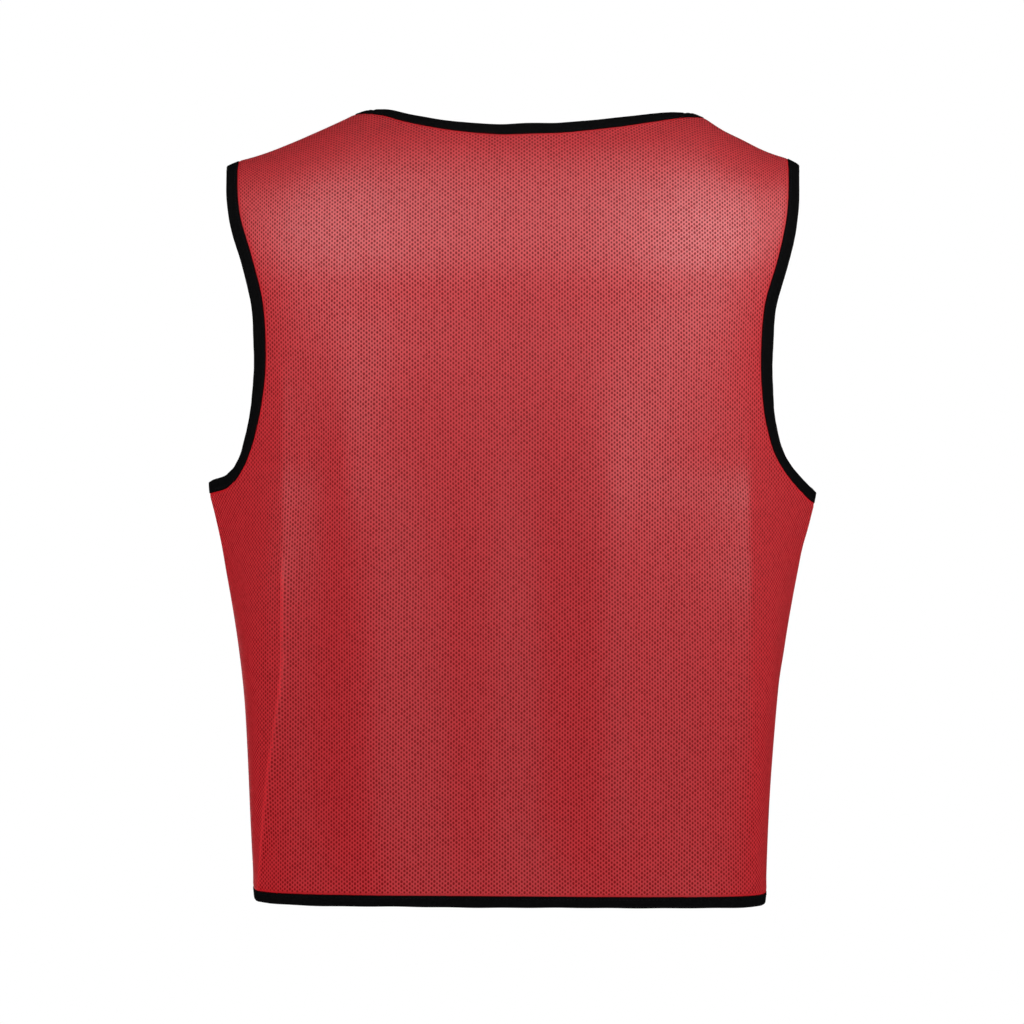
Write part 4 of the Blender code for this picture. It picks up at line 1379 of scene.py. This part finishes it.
TENT = 4.0                # side of the tent
TENT_MIDDLE = np.array([0.0, 0.0, -0.32])
WALLS = (
    ("wall_behind_camera", 0.61, (0, -1, 0)),
    ("wall_in_front", 0.92, (0, 1, 0)),
    ("left_wall", 1.42, (-1, 0, 0)),
    ("right_wall", 1.28, (1, 0, 0)),
    ("roof", 0.48, (0, 0, 1)),
    ("floor_light", 1.60, (0, 0, -1)),
)
for name, brightness, way in WALLS:
    place = TENT_MIDDLE + np.array(way) * TENT / 2
    wall = softbox("tent_" + name, TENT, np.pi * TENT ** 2 * brightness, place, TENT_MIDDLE)
    wall.visible_glossy = False
    wall.data.cycles.use_multiple_importance_sampling = False
world = bpy.data.worlds.new("dark_outside_the_tent")
world.use_nodes = True
world.node_tree.nodes["Background"].inputs["Strength"].default_value = 0.0
bpy.context.scene.world = world
bpy.context.scene.view_settings.view_transform = "Standard"
print("lamps, with the tent's walls:", len(bpy.data.lights))

# %% [markdown]
# ## The pale floor and surround
#
# The photograph's background is white all over, floor and wall alike. A studio gets this with a
# floor that runs into the wall, lit until both are blank. Here a wide disc and a dome over it glow
# evenly. Both are seen by the camera only, because their light would wash out the cloth.

# %% White floor and dome
FLOOR_HEIGHT = -1.0
SURROUND = 9.0            # radius of the floor and the dome
TURN_STEPS = 48           # faces all round
CLIMB_STEPS = 16          # rings of them up the dome


def turned(profile):
    """A surface turned round the Z axis, from a pole: rings of (radius cos a, radius sin a, height)."""
    turn = 2 * np.pi * np.arange(TURN_STEPS) / TURN_STEPS
    radius, height = profile[1:, 0, None], profile[1:, 1, None]
    rings = np.stack(np.broadcast_arrays(radius * np.cos(turn), radius * np.sin(turn), height), axis=-1)
    vertices = np.concatenate([[(0, 0, profile[0, 1])], rings.reshape(-1, 3)])
    index = 1 + np.arange(rings[..., 0].size).reshape(rings.shape[:2])
    fan = np.stack([np.zeros_like(index[0]), index[0], np.roll(index[0], -1)], axis=-1)
    return vertices, fan.tolist() + tube_quads(index).tolist()


blank_white, tree = new_material("blank_white_studio")
glow = add_node(tree, "Emission", {"Color": (1, 1, 1, 1), "Strength": 1.0})
add_node(tree, "OutputMaterial", {"Surface": glow})
climb = np.linspace(np.pi / 2, 0, CLIMB_STEPS + 1)
dome = np.stack([SURROUND * np.cos(climb), FLOOR_HEIGHT + SURROUND * np.sin(climb)], axis=1)
disc = np.array([(0, FLOOR_HEIGHT), (SURROUND, FLOOR_HEIGHT)])
for name, profile in (("white_floor", disc), ("white_dome", dome)):
    vertices, faces = turned(profile)
    mesh = bpy.data.meshes.new(name)
    mesh.from_pydata(vertices.tolist(), [], faces)
    mesh.materials.append(blank_white)
    backdrop = bpy.data.objects.new(name, mesh)
    bpy.context.scene.collection.objects.link(backdrop)
    backdrop.visible_diffuse = backdrop.visible_glossy = False
    backdrop.visible_transmission = backdrop.visible_shadow = False
    print(name, "has", len(faces), "faces")
